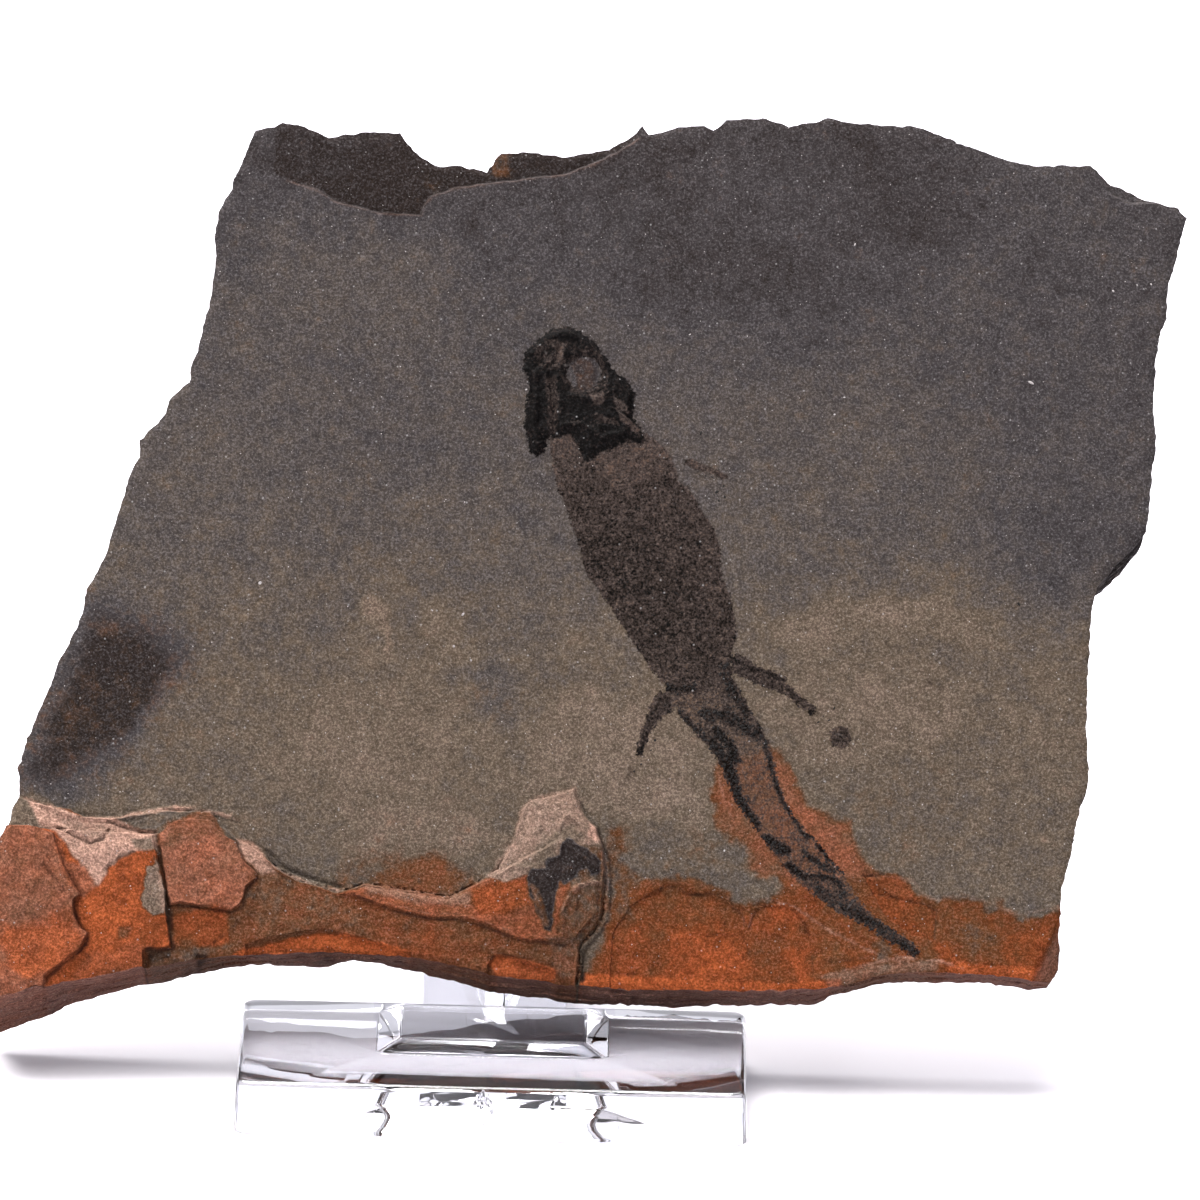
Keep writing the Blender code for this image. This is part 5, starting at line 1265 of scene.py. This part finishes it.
# The film's black crusts, by their routes, and how wide and how full they are
Crust = namedtuple("Crust", "route width share")
CRUSTS = [
    Crust([(71.2, 74.4), (72.6, 76), (73.2, 77.6), (73.6, 79.4), (74.4, 80.8), (75.6, 82.6)], 0.75, 0.96),
    Crust([(71.6, 73), (73, 74.6), (73.6, 76)], 0.7, 0.9),
    Crust([(76.6, 83.8), (77.6, 84.6), (78.6, 85)], 0.75, 1.0),
    Crust([(77.6, 86.5), (79, 86.6), (80, 87.4)], 0.5, 1.0),
    Crust([(84.4, 90.8), (86.2, 91.6), (88.2, 92.8)], 0.65, 0.78),
    Crust([(89.6, 94), (91.4, 95.1)], 0.6, 0.8),
    Crust([(75.8, 72.4), (76.6, 74.6), (77.2, 77), (77.8, 79.2), (79.2, 81.6), (80.2, 83.2)], 0.34, 0.8),
    Crust([(80.6, 83.5), (81.4, 83.5), (81.8, 84.4), (82.8, 85.6), (84.2, 87)], 0.4, 0.95),
    Crust([(80, 87.6), (82, 87.4), (83.8, 88), (84.4, 89.4)], 0.26, 0.95),
    Crust([(80.4, 85.2), (81.8, 86.2), (83.2, 87)], 0.5, 0.66),
    Crust([(81.4, 88.6), (83, 89.6), (85.2, 90.6), (87.4, 92.6), (89.4, 93.8)], 1.0, 0.56),
    Crust([(66.2, 68.6), (68, 69), (69.4, 68.6)], 0.45, 0.9),
    Crust([(67.6, 71), (69.4, 72.6), (71, 74.6)], 0.4, 0.85),
    Crust([(73.2, 65.8), (74.8, 66.8), (76.6, 67.2), (78.2, 68)], 0.34, 0.85),
    Crust([(74.6, 68), (76.4, 68.9), (78.4, 69.4)], 0.26, 0.8),
    Crust([(80.2, 71.4), (81.4, 71.3)], 0.4, 1.0),
    Crust([(66, 70), (65, 71.8), (64.6, 73.6)], 0.26, 0.85),
    Crust([(64.2, 74.4), (63.8, 75.6)], 0.4, 1.0),
    Crust([(70.4, 71.4), (72.6, 71.6), (74.4, 72.6), (75.8, 73.6)], 0.9, 0.78),
    Crust([(72.4, 66.6), (73.4, 69.4), (74.6, 71.4)], 0.8, 0.74),
]


def film_reach(points, names=tuple(FILM_OUTLINES)):
    """How far inside the film places are, in millimetres; negative outside."""
    reach = np.full(len(points), NO_FILM)
    for name in names:
        inside = inside_by(points, FILM_OUTLINES[name])
        if name == "skull":
            inside = np.minimum(inside, -inside_by(points, ORBIT))
        reach = np.maximum(reach, inside)
    return reach


def crust_share(points):
    """How thick the crust is over places on the face."""
    share = np.zeros(len(points))
    for crust in CRUSTS:
        apart, _ = nearest_on(points, cast(crust.route), 2.0, closed=False)
        share = np.maximum(share, crust.share * (1.0 - smooth(apart / crust.width, 0.35, 1.0)))
    return share


def carbon_laid(points, base, patches):
    """A base share of black over places on the face, with the patches' own laid over it in turn."""
    share = np.full(len(points), base)
    for patch in patches:
        inside = inside_by(points, cast(patch.outline))
        share += (patch.share - share) * smooth(inside, -0.5 * patch.soft, 0.5 * patch.soft)
    return share


def carbon_share(points):
    """The share of black in the film over places on the face."""
    points = wandered(points)
    share = np.maximum(carbon_laid(points, CARBON_BASE, CARBONS), crust_share(points))
    bone = carbon_laid(points, SKULL_CARBON, SKULL_LIGHT)
    skull_inside = film_reach(points, ("skull",))
    return share + (bone - share) * smooth(skull_inside, -0.3, 0.05)


def paint(piece, points, part=0.0):
    """Gives a piece its masks from its places; part is 0 on the face, 1 on the walls and 2 on the back."""
    part = np.broadcast_to(part, len(points))
    film = film_reach(points) - TAIL_GAPS * smooth(uncast(points)[:, 1], 85.0, 90.0)
    masks = stained(points)
    # the painted shade and highlight lines, kept off the back
    masks["line_shade"] = np.where(part < 2.0, shade_line_mask(points), 0.0)
    masks["film"] = np.where(part == 0.0, film, NO_FILM)
    masks["carbon"] = carbon_share(points)
    masks["edge"] = (part == 1.0).astype(float)
    for name, values in masks.items():
        layer = piece.data.attributes.new(name, "FLOAT", "POINT")
        layer.data.foreach_set("value", np.ascontiguousarray(values, np.float32))


slab_places, slab_heights, slab_faces, slab_part = shale_sheet()
slab_low, slab_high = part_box("slab")
slab_world = np.clip(in_world(slab_places, slab_heights), slab_low, slab_high)
slab = mesh_object("shale_slab", slab_world, slab_faces.tolist(), shale)
paint(slab, slab_places, slab_part)
shade_round(slab, STONE_CREASE)
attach(slab, "root")
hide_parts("slab")


# ---------------------------------------------------------------------------
# The fossil. A thin film of carbon and crushed bone in the face of the slab, part of the rock itself.
# Only the skull has clear relief: crushed, near-black bone with an eye opening. The tail is crusted.

INLAY_MARGIN = 0.3  # each sheet runs on this far past the stain, sinking under the stone's face
INLAY_SINK = 0.14
FILM_LIFT = 0.035
SKULL_LIFT = 0.3
SKULL_SHOULDER = 0.9
FILM_CREASE = 50.0
SKULL_RIDGES = [
    Line([(53.2, 35.4), (54.4, 33.9), (56.5, 33.2), (58.3, 33.9), (59.9, 35.6), (61.3, 37.6), (62.7, 39.4),
          (62.9, 41.2)], 0.2, 0.5),
    Line([(53.4, 37.4), (53.5, 40), (53.3, 42.5), (53.8, 45)], 0.26, 0.7),
    Line([(55, 37.4), (55.4, 40.4), (55.5, 43.4)], -0.26, 0.45),
    Line([(56.1, 34.5), (55.6, 36.3)], -0.18, 0.35),
    Line([(61.2, 40.8), (62.6, 41.9), (63.9, 42.9)], 0.26, 0.25),
    Line([(60.4, 41.6), (62, 42.6)], -0.16, 0.25),
    Line([(56.4, 42.5), (58.2, 42.4), (60.2, 43.7), (62.4, 43.2)], 0.14, 0.4),
    Line([(57, 39.6), (59.6, 40), (61.4, 39)], 0.14, 0.45),
]
ORBIT_RIM = 0.2
SHOULDER_LIP = Line([(65.4, 44.4), (64.4, 45.2), (63.3, 46.1), (62.8, 47.8)], 0.12, 0.28)


def grown(outline, margin, spacing=0.3):
    """An outline set outwards, with points at the spacing."""
    fine = refine(outline, spacing)
    return fine + outward_normals(fine) * margin


def inlay_rise(inside, lift):
    """How a sheet stands over the stone, by how far inside its stain a place is."""
    sunk = INLAY_SINK * (1.0 - smooth(inside, -INLAY_MARGIN, -0.02))
    return lift * smooth(inside, -0.12, 0.25) - sunk


def skull_top(points):
    """Crushed bone: lumps and ridges that fall away at its rim and into the eye opening."""
    inside = film_reach(points, ("skull",))
    crown = smooth(inside / SKULL_SHOULDER)
    lumps = 0.5 * ripple(points, 1.9, 2.0) + 0.5 * ripple(points, 0.8, 3.0)
    relief = crown * (SKULL_LIFT + 0.26 * lumps)
    for line in SKULL_RIDGES:
        relief += line_rise(points, line) * smooth(inside / 0.35)
    relief += ORBIT_RIM * smooth(inside / 0.3) * (1.0 - smooth(np.abs(inside_by(points, ORBIT)) / 0.8))
    relief += 0.07 * ripple(points, 0.32, 6.0) * smooth(inside / 0.25)
    return face_height(points) + inlay_rise(inside, FILM_LIFT) + np.maximum(relief, -0.02)


def body_top(points):
    """The trunk's and the tail's film, roughened where it is crusted, with a lip at the shoulder."""
    inside = film_reach(points, ("body",))
    crust = crust_share(points) * smooth(inside, -0.1, 0.2)
    rough = 0.6 + 1.0 * ripple(points, 0.5, 7.0)
    lip = line_rise(points, SHOULDER_LIP) * smooth(inside, -0.2, 0.1)
    return face_height(points) + inlay_rise(inside, FILM_LIFT) + 0.1 * crust * rough + lip


def limb_top(name):
    """The height of one limb's film, as a function of places on the face."""
    def top(points):
        inside = film_reach(points, (name,))
        rough = 0.05 * crust_share(points) * (1.0 + ripple(points, 0.4, 8.0)) * smooth(inside, -0.1, 0.2)
        return face_height(points) + inlay_rise(inside, FILM_LIFT) + rough
    return top


def thin_sheet(outline, hole, spacing, seed, top):
    """A closed sheet let into the face: its places, heights and triangles."""
    rng = random.Random(seed)
    holes = [] if hole is None else [hole]
    drawn = np.vstack([outline, *holes])
    flat, triangles = sheet_of(outline, holes, [], scatter(outline, spacing, drawn, rng))
    count = len(flat)
    heights = np.concatenate([top(flat), np.full(count, FILM_FLOOR)])
    faces = [triangles, triangles[:, ::-1] + count]
    for loop in rim_loops(triangles):
        here = np.array(loop)
        before = np.roll(here, 1)
        faces.append(np.column_stack([here, before, before + count]))
        faces.append(np.column_stack([here, before + count, here + count]))
    return np.vstack([flat, flat]), heights, np.vstack(faces)


film_material = stone_material("carbon_film", 0.85, 0.02)
bone_material = stone_material("black_bone", 0.55, 0.03)

Inlay = namedtuple("Inlay", "node hole spacing top finish slot")
INLAYS = [
    Inlay("skull", grown(ORBIT, -INLAY_MARGIN), 0.16, skull_top, bone_material, "bone"),
    Inlay("body", None, 0.27, body_top, film_material, "film"),
    *(Inlay(limb, None, 0.22, limb_top(limb), film_material, "film")
      for limb in ("left_hind_leg", "right_hind_leg", "right_hind_foot", "foreleg")),
]
for seed, inlay in enumerate(INLAYS, start=30):
    border = grown(FILM_OUTLINES[inlay.node], INLAY_MARGIN)
    places, heights, faces = thin_sheet(border, inlay.hole, inlay.spacing, seed, inlay.top)
    name = inlay.node + "_" + inlay.slot
    piece = mesh_object(name, in_world(places, heights), faces.tolist(), inlay.finish)
    paint(piece, places)
    shade_round(piece, FILM_CREASE)
    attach(piece, "root")
    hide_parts(inlay.node)


# ---------------------------------------------------------------------------
# Black grains that crust the tail and the limbs, and mica flecks and pale specks on the stone. Each is a
# small flattened grain that sits in the face. They are scattered where the rock or the film has them.

CRUST_GRAINS_PER_MM2 = 16.0
CRUST_GRAIN_SIZES = (0.05, 0.15)  # radii, in millimetres
CRUST_FLATNESS = 0.5
CRUST_SPACING = 0.3  # of the sheet that the grains are laid on, and how far it runs past the film
CRUST_MARGIN = 0.1
GRAIN_LENGTHS = (0.7, 1.5)  # how a scattered grain is stretched, and a single one
SINGLE_LENGTHS = (1.0, 1.6)
WHOLE_TURN = 6.28
MICA_FLECKS_PER_MM2 = 0.16
MICA_FLECK_SIZES = (0.025, 0.06)
MICA_FLATNESS = 0.35
# Pale specks and dark bits that lie apart, by where they are and how long they are
PALE_SPECKS = [
    (103.2, 38.2, 0.42), (84.5, 39.7, 0.2), (83.5, 41.4, 0.2), (85.6, 24.3, 0.22), (111.5, 29.0, 0.24),
    (113.9, 28.4, 0.2), (115.3, 28.3, 0.2), (26.0, 58.3, 0.34), (52.6, 38.9, 0.2), (69.0, 33.4, 0.16),
    (46.3, 61.4, 0.3), (45.4, 64.6, 0.26), (43.2, 61.0, 0.2), (47.1, 66.0, 0.22), (72.4, 85.0, 0.2),
]
DARK_BITS = [
    (70.1, 43.3, 0.3), (71.7, 49.2, 0.34), (72.5, 49.7, 0.26), (72.4, 48.6, 0.2), (71.9, 50.1, 0.2),
    (71.2, 47.7, 0.2), (70.6, 47.6, 0.16), (69.6, 46.9, 0.18), (65.5, 74.0, 0.28), (65.1, 75.0, 0.18),
    (64.1, 76.4, 0.22), (63.4, 77.1, 0.18), (83.4, 70.8, 0.24), (82.9, 72.0, 0.22), (81.8, 72.2, 0.22),
    (82.3, 71.6, 0.16), (67.1, 86.9, 0.2), (101.9, 60.4, 0.3),
]


def grain_scatter():
    """Grains scattered over a surface by its density mask, as real mesh."""
    tree = bpy.data.node_groups.new("grain_scatter", "GeometryNodeTree")
    face = tree.interface
    face.new_socket("Surface", in_out="INPUT", socket_type="NodeSocketGeometry")
    for name in ("Grains per m2", "Smallest", "Largest", "Flatness"):
        face.new_socket(name, in_out="INPUT", socket_type="NodeSocketFloat")
    face.new_socket("Seed", in_out="INPUT", socket_type="NodeSocketInt")
    face.new_socket("Finish", in_out="INPUT", socket_type="NodeSocketMaterial")
    face.new_socket("Grains", in_out="OUTPUT", socket_type="NodeSocketGeometry")
    given = add_node(tree, "NodeGroupInput").outputs
    where = add_node(tree, "GeometryNodeInputNamedAttribute", {"Name": "density"}, data_type="FLOAT")
    density = calc(tree, "MULTIPLY", given["Grains per m2"], where.outputs[0])
    spread = add_node(tree, "GeometryNodeDistributePointsOnFaces",
                      {"Mesh": given["Surface"], "Density": density, "Seed": given["Seed"]})

    def pick(least, most, seed):
        """A random number for each grain."""
        inputs = {2: least, 3: most, "Seed": seed}
        return add_node(tree, "FunctionNodeRandomValue", inputs, data_type="FLOAT").outputs[1]

    size = pick(given["Smallest"], given["Largest"], given["Seed"])
    length = pick(*GRAIN_LENGTHS, 5)
    scale = add_node(tree, "ShaderNodeCombineXYZ", {
        "X": calc(tree, "MULTIPLY", size, length), "Y": size,
        "Z": calc(tree, "MULTIPLY", size, given["Flatness"]),
    })
    turn = pick(0.0, WHOLE_TURN, 9)
    spin = add_node(tree, "FunctionNodeAxisAngleToRotation", {"Axis": (0.0, 0.0, 1.0), "Angle": turn})
    set_down = add_node(tree, "FunctionNodeRotateRotation", {
        "Rotation": spread.outputs["Rotation"], "Rotate By": spin.outputs[0],
    }, rotation_space="LOCAL")
    lump = add_node(tree, "GeometryNodeMeshIcoSphere", {"Radius": 1.0, "Subdivisions": 1})
    laid = add_node(tree, "GeometryNodeInstanceOnPoints", {
        "Points": spread.outputs["Points"], "Instance": lump.outputs["Mesh"],
        "Rotation": set_down.outputs[0], "Scale": scale.outputs[0],
    })
    real = add_node(tree, "GeometryNodeRealizeInstances", {"Geometry": laid.outputs[0]}).outputs[0]
    coated = add_node(tree, "GeometryNodeSetMaterial", {"Geometry": real, "Material": given["Finish"]})
    add_node(tree, "NodeGroupOutput", {"Grains": coated.outputs[0]})
    return tree


def scattered(name, surface, density, sizes, flatness, per_mm2, seed, finish):
    """A plain mesh of grains spread over a surface of (places in metres, triangles)."""
    emitter = mesh_object(name, *surface, finish)
    layer = emitter.data.attributes.new("density", "FLOAT", "POINT")
    layer.data.foreach_set("value", np.ascontiguousarray(density, np.float32))
    modifier = emitter.modifiers.new("grains", "NODES")
    modifier.node_group = GRAIN_SCATTER
    values = {
        "Grains per m2": per_mm2 / MM**2, "Smallest": sizes[0] * MM, "Largest": sizes[1] * MM,
        "Flatness": flatness, "Seed": seed, "Finish": finish,
    }
    for socket in GRAIN_SCATTER.interface.items_tree:
        if socket.name in values:
            modifier[socket.identifier] = values[socket.name]
    graph = bpy.context.evaluated_depsgraph_get()
    plain = bpy.data.meshes.new_from_object(emitter.evaluated_get(graph))
    emitter.modifiers.clear()
    emitter.data = plain
    return emitter


def laid_grains(spots, flatness, seed):
    """Single grains laid in the face as a bmesh, each at its spot with its own size."""
    rng = random.Random(seed)
    shape = bmesh.new()
    middles = cast([(x, y) for x, y, _ in spots])
    heights = face_height(middles)
    for (_, _, size), middle, height in zip(spots, middles, heights):
        turn = Matrix.Rotation(rng.uniform(0, WHOLE_TURN), 4, "Z")
        long = rng.uniform(*SINGLE_LENGTHS)
        stretch = Matrix.Diagonal((0.5 * size * long, 0.5 * size / long, 0.5 * size * flatness, 1.0))
        stand = Matrix.Rotation(math.pi / 2 - SLAB_LEAN, 4, "X")
        (place,) = in_world(middle[None], np.array([height]))
        at = Matrix.Translation(place) @ stand @ turn @ Matrix.Scale(MM, 4) @ stretch
        made = bmesh.ops.create_icosphere(shape, subdivisions=2, radius=1.0, matrix=at)
        for vertex in made["verts"]:
            vertex.co += OUT_OF_FACE * (0.1 * size * MM * rng.uniform(-0.5, 1.0))
    return shape


def object_of(name, shape, finish):
    """A mesh object of a bmesh, at the origin."""
    mesh = bpy.data.meshes.new(name)
    shape.to_mesh(mesh)
    shape.free()
    return placed(name, mesh, finish)


def grain_material(name, colour, rough, gloss):
    """A grain's own colour, a little uneven."""
    made, tree, shader = new_material(name, {"Roughness": rough, "Specular IOR Level": gloss})
    place = add_node(tree, "ShaderNodeTexCoord").outputs["Object"]
    uneven = between(tree, grain(tree, place, 0.0003, 2.0), 0.3, 0.7, 0.55, 1.3)
    tree.links.new(shaded(tree, (*colour, 1.0), uneven), shader.inputs["Base Color"])
    return made


GRAIN_SCATTER = grain_scatter()
black_grain = grain_material("black_grain", (0.006, 0.005, 0.0046), 0.6, 0.12)
pale_grain = grain_material("pale_grain", (0.27, 0.25, 0.245), 0.5, 0.2)

body_border = grown(FILM_OUTLINES["body"], CRUST_MARGIN)
crust_flat, crust_faces = sheet_of(
    body_border, [], [], scatter(body_border, CRUST_SPACING, body_border, random.Random(5)))
crust_places = in_world(crust_flat, body_top(crust_flat))
tail_crust = scattered(
    "tail_crust", (crust_places, crust_faces.tolist()), crust_share(crust_flat), CRUST_GRAIN_SIZES,
    CRUST_FLATNESS, CRUST_GRAINS_PER_MM2, 21, black_grain)
on_face = slab_part == 0.0
face_only = slab_faces[on_face[slab_faces].all(axis=1)]
mica_flecks = scattered(
    "mica_flecks", (slab_world[on_face], face_only.tolist()), np.ones(int(on_face.sum())), MICA_FLECK_SIZES,
    MICA_FLATNESS, MICA_FLECKS_PER_MM2, 22, pale_grain)
pale_specks = object_of("pale_specks", laid_grains(PALE_SPECKS, 0.4, 23), pale_grain)
dark_bits = object_of("dark_bits", laid_grains(DARK_BITS, 0.3, 24), black_grain)
grains = [(tail_crust, "film"), (dark_bits, "film"), (mica_flecks, "shale"), (pale_specks, "shale")]
for piece, slot in grains:
    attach(piece, "root")


# ---------------------------------------------------------------------------
# The stand. Two pieces of clear moulded plastic: a solid front block with a recess in its underside, open
# at the rear, and a back rest whose tongue enters the recess. Drafted sides and small round edges.

BLOCK_WIDTH = 50.8
BLOCK_DEPTH = 30.0
BLOCK_HEIGHT = 5.3
BLOCK_DRAFT = math.radians(2.4)
BLOCK_CORNER = 1.6
BLOCK_EDGE = 0.35
RECESS_WIDTH = 22.8
RECESS_DEPTH = 14.3
RECESS_HEIGHT = 3.7
RECESS_SLOPE = 2.15
RECESS_CORNER = 1.2
CUT_MARGIN = 1.0
STAND_GAP = 0.3
PLATE_WIDTH = 24.2
PLATE_THICKNESS = 2.4
PLATE_LENGTH = 40.0
PLATE_EDGE = 0.8
PLATE_LEAN = SLAB_LEAN - math.radians(0.8)
TONGUE_INSET = 0.35  # the tongue fills the recess but for this inset from its sloping walls
FOOT_WIDTHS = (14.2, 6.4)
FOOT_REACH = 46.0
RIB_THICKNESS = 2.0
RIB_HEIGHT = 30.0
RIB_REACH = 32.0
RIB_SINK = 1.0
RIB_CREST = 2.6
RIB_HEEL = 0.8
ROUND_EDGE = 0.22  # every other moulded edge, rounded in steps where it is sharper than the angle
ROUND_STEPS = 3
ROUND_ANGLE = math.radians(35)
PLASTIC_CREASE = 30.0
BLOCK_CORNER_STEPS = 8
RECESS_CORNER_STEPS = 5
FOOT_STEPS = 16
GATE_PLACE = (-0.7, 3.3)  # the mould's gate mark on the front face: across from its middle, and up
GATE_SIZE = (0.95, 0.4, 1.75)

base_low, base_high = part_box("stand_base")
STAND_MIDDLE = 0.5 * (base_low[0] + base_high[0]) / MM
STAND_REAR = base_high[1] / MM

clear_plastic, clear_tree, clear_shader = new_material("moulded_plastic", {
    "Base Color": (0.945, 0.947, 0.972, 1.0), "Transmission Weight": 1.0, "IOR": 1.49, "Roughness": 0.012,
})
clear_place = add_node(clear_tree, "ShaderNodeTexCoord").outputs["Object"]
add_bump(clear_tree, clear_shader, grain(clear_tree, clear_place, 0.006, 1.0), 0.0001, 0.35)


def loft(rings):
    """A closed solid through rings of equal count, each a list of (x, y, z) in millimetres."""
    shape = bmesh.new()
    made = [[shape.verts.new(Vector(point) * MM) for point in ring] for ring in rings]
    count = len(made[0])
    for lower, upper in zip(made, made[1:]):
        for i in range(count):
            shape.faces.new((lower[i - 1], lower[i], upper[i], upper[i - 1]))
    shape.faces.new(made[0][::-1])
    shape.faces.new(made[-1])
    bmesh.ops.recalc_face_normals(shape, faces=shape.faces[:])
    return shape


def rounded_rectangle(low, high, radius, z, steps):
    """A ring round a rectangle with round corners, from its low and high corners."""
    turns = [
        ((high[0] - radius, high[1] - radius), 0.0), ((low[0] + radius, high[1] - radius), 0.5),
        ((low[0] + radius, low[1] + radius), 1.0), ((high[0] - radius, low[1] + radius), 1.5),
    ]
    ring = []
    for (x, y), quarter in turns:
        for i in range(steps + 1):
            angle = math.pi * (quarter + 0.5 * i / steps)
            ring.append((x + radius * math.cos(angle), y + radius * math.sin(angle), z))
    return ring


def extrude_side(profile, middle, width):
    """A side profile of (y, z) points made as wide as given, about x = middle."""
    return loft([[(middle + side * width / 2, y, z) for y, z in profile] for side in (-1, 1)])


def gate_mark(x, y, z):
    """The crumpled, spindle-shaped hollow that the mould's gate leaves."""
    shape = bmesh.new()
    bmesh.ops.create_icosphere(shape, subdivisions=4, radius=1.0)
    for vertex in shape.verts:
        crumple = 1.0 + 0.3 * noise.noise(vertex.co * 2.6) + 0.12 * noise.noise(vertex.co * 7.0)
        across, deep, up = (part * size * crumple for part, size in zip(vertex.co, GATE_SIZE))
        narrowing = 1.0 - 0.5 * abs(vertex.co.z) ** 2
        vertex.co = Vector((x + across * narrowing, y + deep, z + up)) * MM
    return shape


def combine(piece, operation, shape):
    """Has a solid joined with a piece or cut out of it, and returns the object that holds the solid."""
    helper = object_of(piece.name + "_helper", shape, clear_plastic)
    modifier = piece.modifiers.new(operation.lower(), "BOOLEAN")
    modifier.operation = operation
    modifier.object = helper
    return helper


def moulded(name, shape, others, marks=()):
    """A clear moulded piece: a solid joined with or cut by others, its edges rounded, then marked."""
    piece = object_of(name, shape, clear_plastic)
    helpers = [combine(piece, operation, other) for operation, other in others]
    bevel = piece.modifiers.new("round_edges", "BEVEL")
    bevel.width = ROUND_EDGE * MM
    bevel.segments = ROUND_STEPS
    bevel.angle_limit = ROUND_ANGLE
    bevel.use_clamp_overlap = True
    helpers += [combine(piece, "DIFFERENCE", mark) for mark in marks]
    graph = bpy.context.evaluated_depsgraph_get()
    plain = bpy.data.meshes.new_from_object(piece.evaluated_get(graph))
    piece.modifiers.clear()
    piece.data = plain
    for helper in helpers:
        bpy.data.objects.remove(helper)
    plain.materials.clear()
    plain.materials.append(clear_plastic)
    shade_round(piece, PLASTIC_CREASE)
    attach(piece, "root")
    return piece


half_width = BLOCK_WIDTH / 2
block_front = STAND_REAR - BLOCK_DEPTH
block_rings = []
for z, edge in ((0.0, 0.0), (BLOCK_HEIGHT - BLOCK_EDGE, 0.0), (BLOCK_HEIGHT, BLOCK_EDGE)):
    inset = z * math.tan(BLOCK_DRAFT) + edge
    low = (STAND_MIDDLE - half_width + inset, block_front + inset)
    high = (STAND_MIDDLE + half_width - inset, STAND_REAR - edge)
    block_rings.append(rounded_rectangle(low, high, BLOCK_CORNER - edge, z, BLOCK_CORNER_STEPS))
recess_rings = []
for z in (-CUT_MARGIN, RECESS_HEIGHT):
    lean = RECESS_SLOPE * z / RECESS_HEIGHT
    low = (STAND_MIDDLE - RECESS_WIDTH / 2 + lean, STAND_REAR - RECESS_DEPTH + lean)
    high = (STAND_MIDDLE + RECESS_WIDTH / 2 - lean, STAND_REAR + RECESS_CORNER + CUT_MARGIN)
    recess_rings.append(rounded_rectangle(low, high, RECESS_CORNER, z, RECESS_CORNER_STEPS))
gate_across, gate_up = GATE_PLACE
gate = gate_mark(STAND_MIDDLE + gate_across, block_front + gate_up * math.tan(BLOCK_DRAFT), gate_up)
block = moulded("clear_front_block", loft(block_rings), [("DIFFERENCE", loft(recess_rings))], [gate])
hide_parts("stand_base")

rest_front = STAND_REAR + STAND_GAP
knee = BLOCK_HEIGHT + STAND_GAP
plate_reach = PLATE_LENGTH * math.sin(PLATE_LEAN)
plate_rise = PLATE_LENGTH * math.cos(PLATE_LEAN)
plate_across = PLATE_THICKNESS / math.cos(PLATE_LEAN)
plate_profile = [
    (rest_front, 0.0), (rest_front + plate_across, 0.0), (rest_front + plate_across, knee),
    (rest_front + plate_reach + plate_across - PLATE_EDGE, knee + plate_rise - 0.5 * PLATE_EDGE),
    (rest_front + plate_reach + PLATE_EDGE, knee + plate_rise),
    (rest_front + plate_reach, knee + plate_rise - PLATE_EDGE), (rest_front, knee),
]
foot_start = rest_front + 0.5 * plate_across
foot_end = STAND_REAR + FOOT_REACH
wide, narrow = (width / 2 for width in FOOT_WIDTHS)
foot_ring = [(-wide, foot_start), (wide, foot_start), (narrow, foot_end - narrow)]
for i in range(1, FOOT_STEPS):
    turn = math.pi * i / FOOT_STEPS
    foot_ring.append((narrow * math.cos(turn), foot_end - narrow + narrow * math.sin(turn)))
foot_ring.append((-narrow, foot_end - narrow))
foot = loft([[(STAND_MIDDLE + x, y, z) for x, y in foot_ring] for z in (0.0, PLATE_THICKNESS)])
tongue_rings = []
for z in (0.0, RECESS_HEIGHT - STAND_GAP):
    inset = RECESS_SLOPE * z / RECESS_HEIGHT + TONGUE_INSET
    side = RECESS_WIDTH / 2 - inset
    low, high = (STAND_MIDDLE - side, STAND_REAR - RECESS_DEPTH + inset), (STAND_MIDDLE + side, foot_start)
    tongue_rings.append(rounded_rectangle(low, high, RECESS_CORNER - TONGUE_INSET, z, RECESS_CORNER_STEPS))
rib_top = foot_start + math.tan(PLATE_LEAN) * (RIB_HEIGHT - knee)
rib_end = STAND_REAR + RIB_REACH
rib_profile = [
    (foot_start, RIB_SINK), (rib_end, RIB_SINK), (rib_end, PLATE_THICKNESS + RIB_HEEL),
    (rib_top + RIB_CREST, RIB_HEIGHT), (rib_top, RIB_HEIGHT), (foot_start, knee),
]
rest = moulded(
    "clear_back_rest", extrude_side(plate_profile, STAND_MIDDLE, PLATE_WIDTH),
    [("UNION", foot), ("UNION", loft(tongue_rings)),
     ("UNION", extrude_side(rib_profile, STAND_MIDDLE, RIB_THICKNESS))],
)
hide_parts("back_rest")


# ---------------------------------------------------------------------------
# The camera, square on across the slab and a little above it, through a long lens.

CAMERA_HEIGHT = math.radians(15)
CAMERA_DISTANCE = 2.0
CAMERA_ROLL = math.radians(1.5)
VIEW_WIDTH = 0.120
camera_data = bpy.data.cameras.new("camera")
camera_data.sensor_width = 36.0
camera_data.lens = camera_data.sensor_width * CAMERA_DISTANCE / VIEW_WIDTH
camera_data.clip_end = 20.0
camera = bpy.data.objects.new("camera", camera_data)
toward = Vector((0.0, -math.cos(CAMERA_HEIGHT), math.sin(CAMERA_HEIGHT)))
aim = (-toward).to_track_quat("-Z", "Y").to_matrix().to_4x4() @ Matrix.Rotation(CAMERA_ROLL, 4, "Z")
camera.matrix_world = Matrix.Translation(FACE_CENTRE + toward * CAMERA_DISTANCE) @ aim
bpy.context.scene.collection.objects.link(camera)
bpy.context.scene.camera = camera

low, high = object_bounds()
{"cad": [list(cad_low), list(cad_high)], "visual": [list(low), list(high)]}
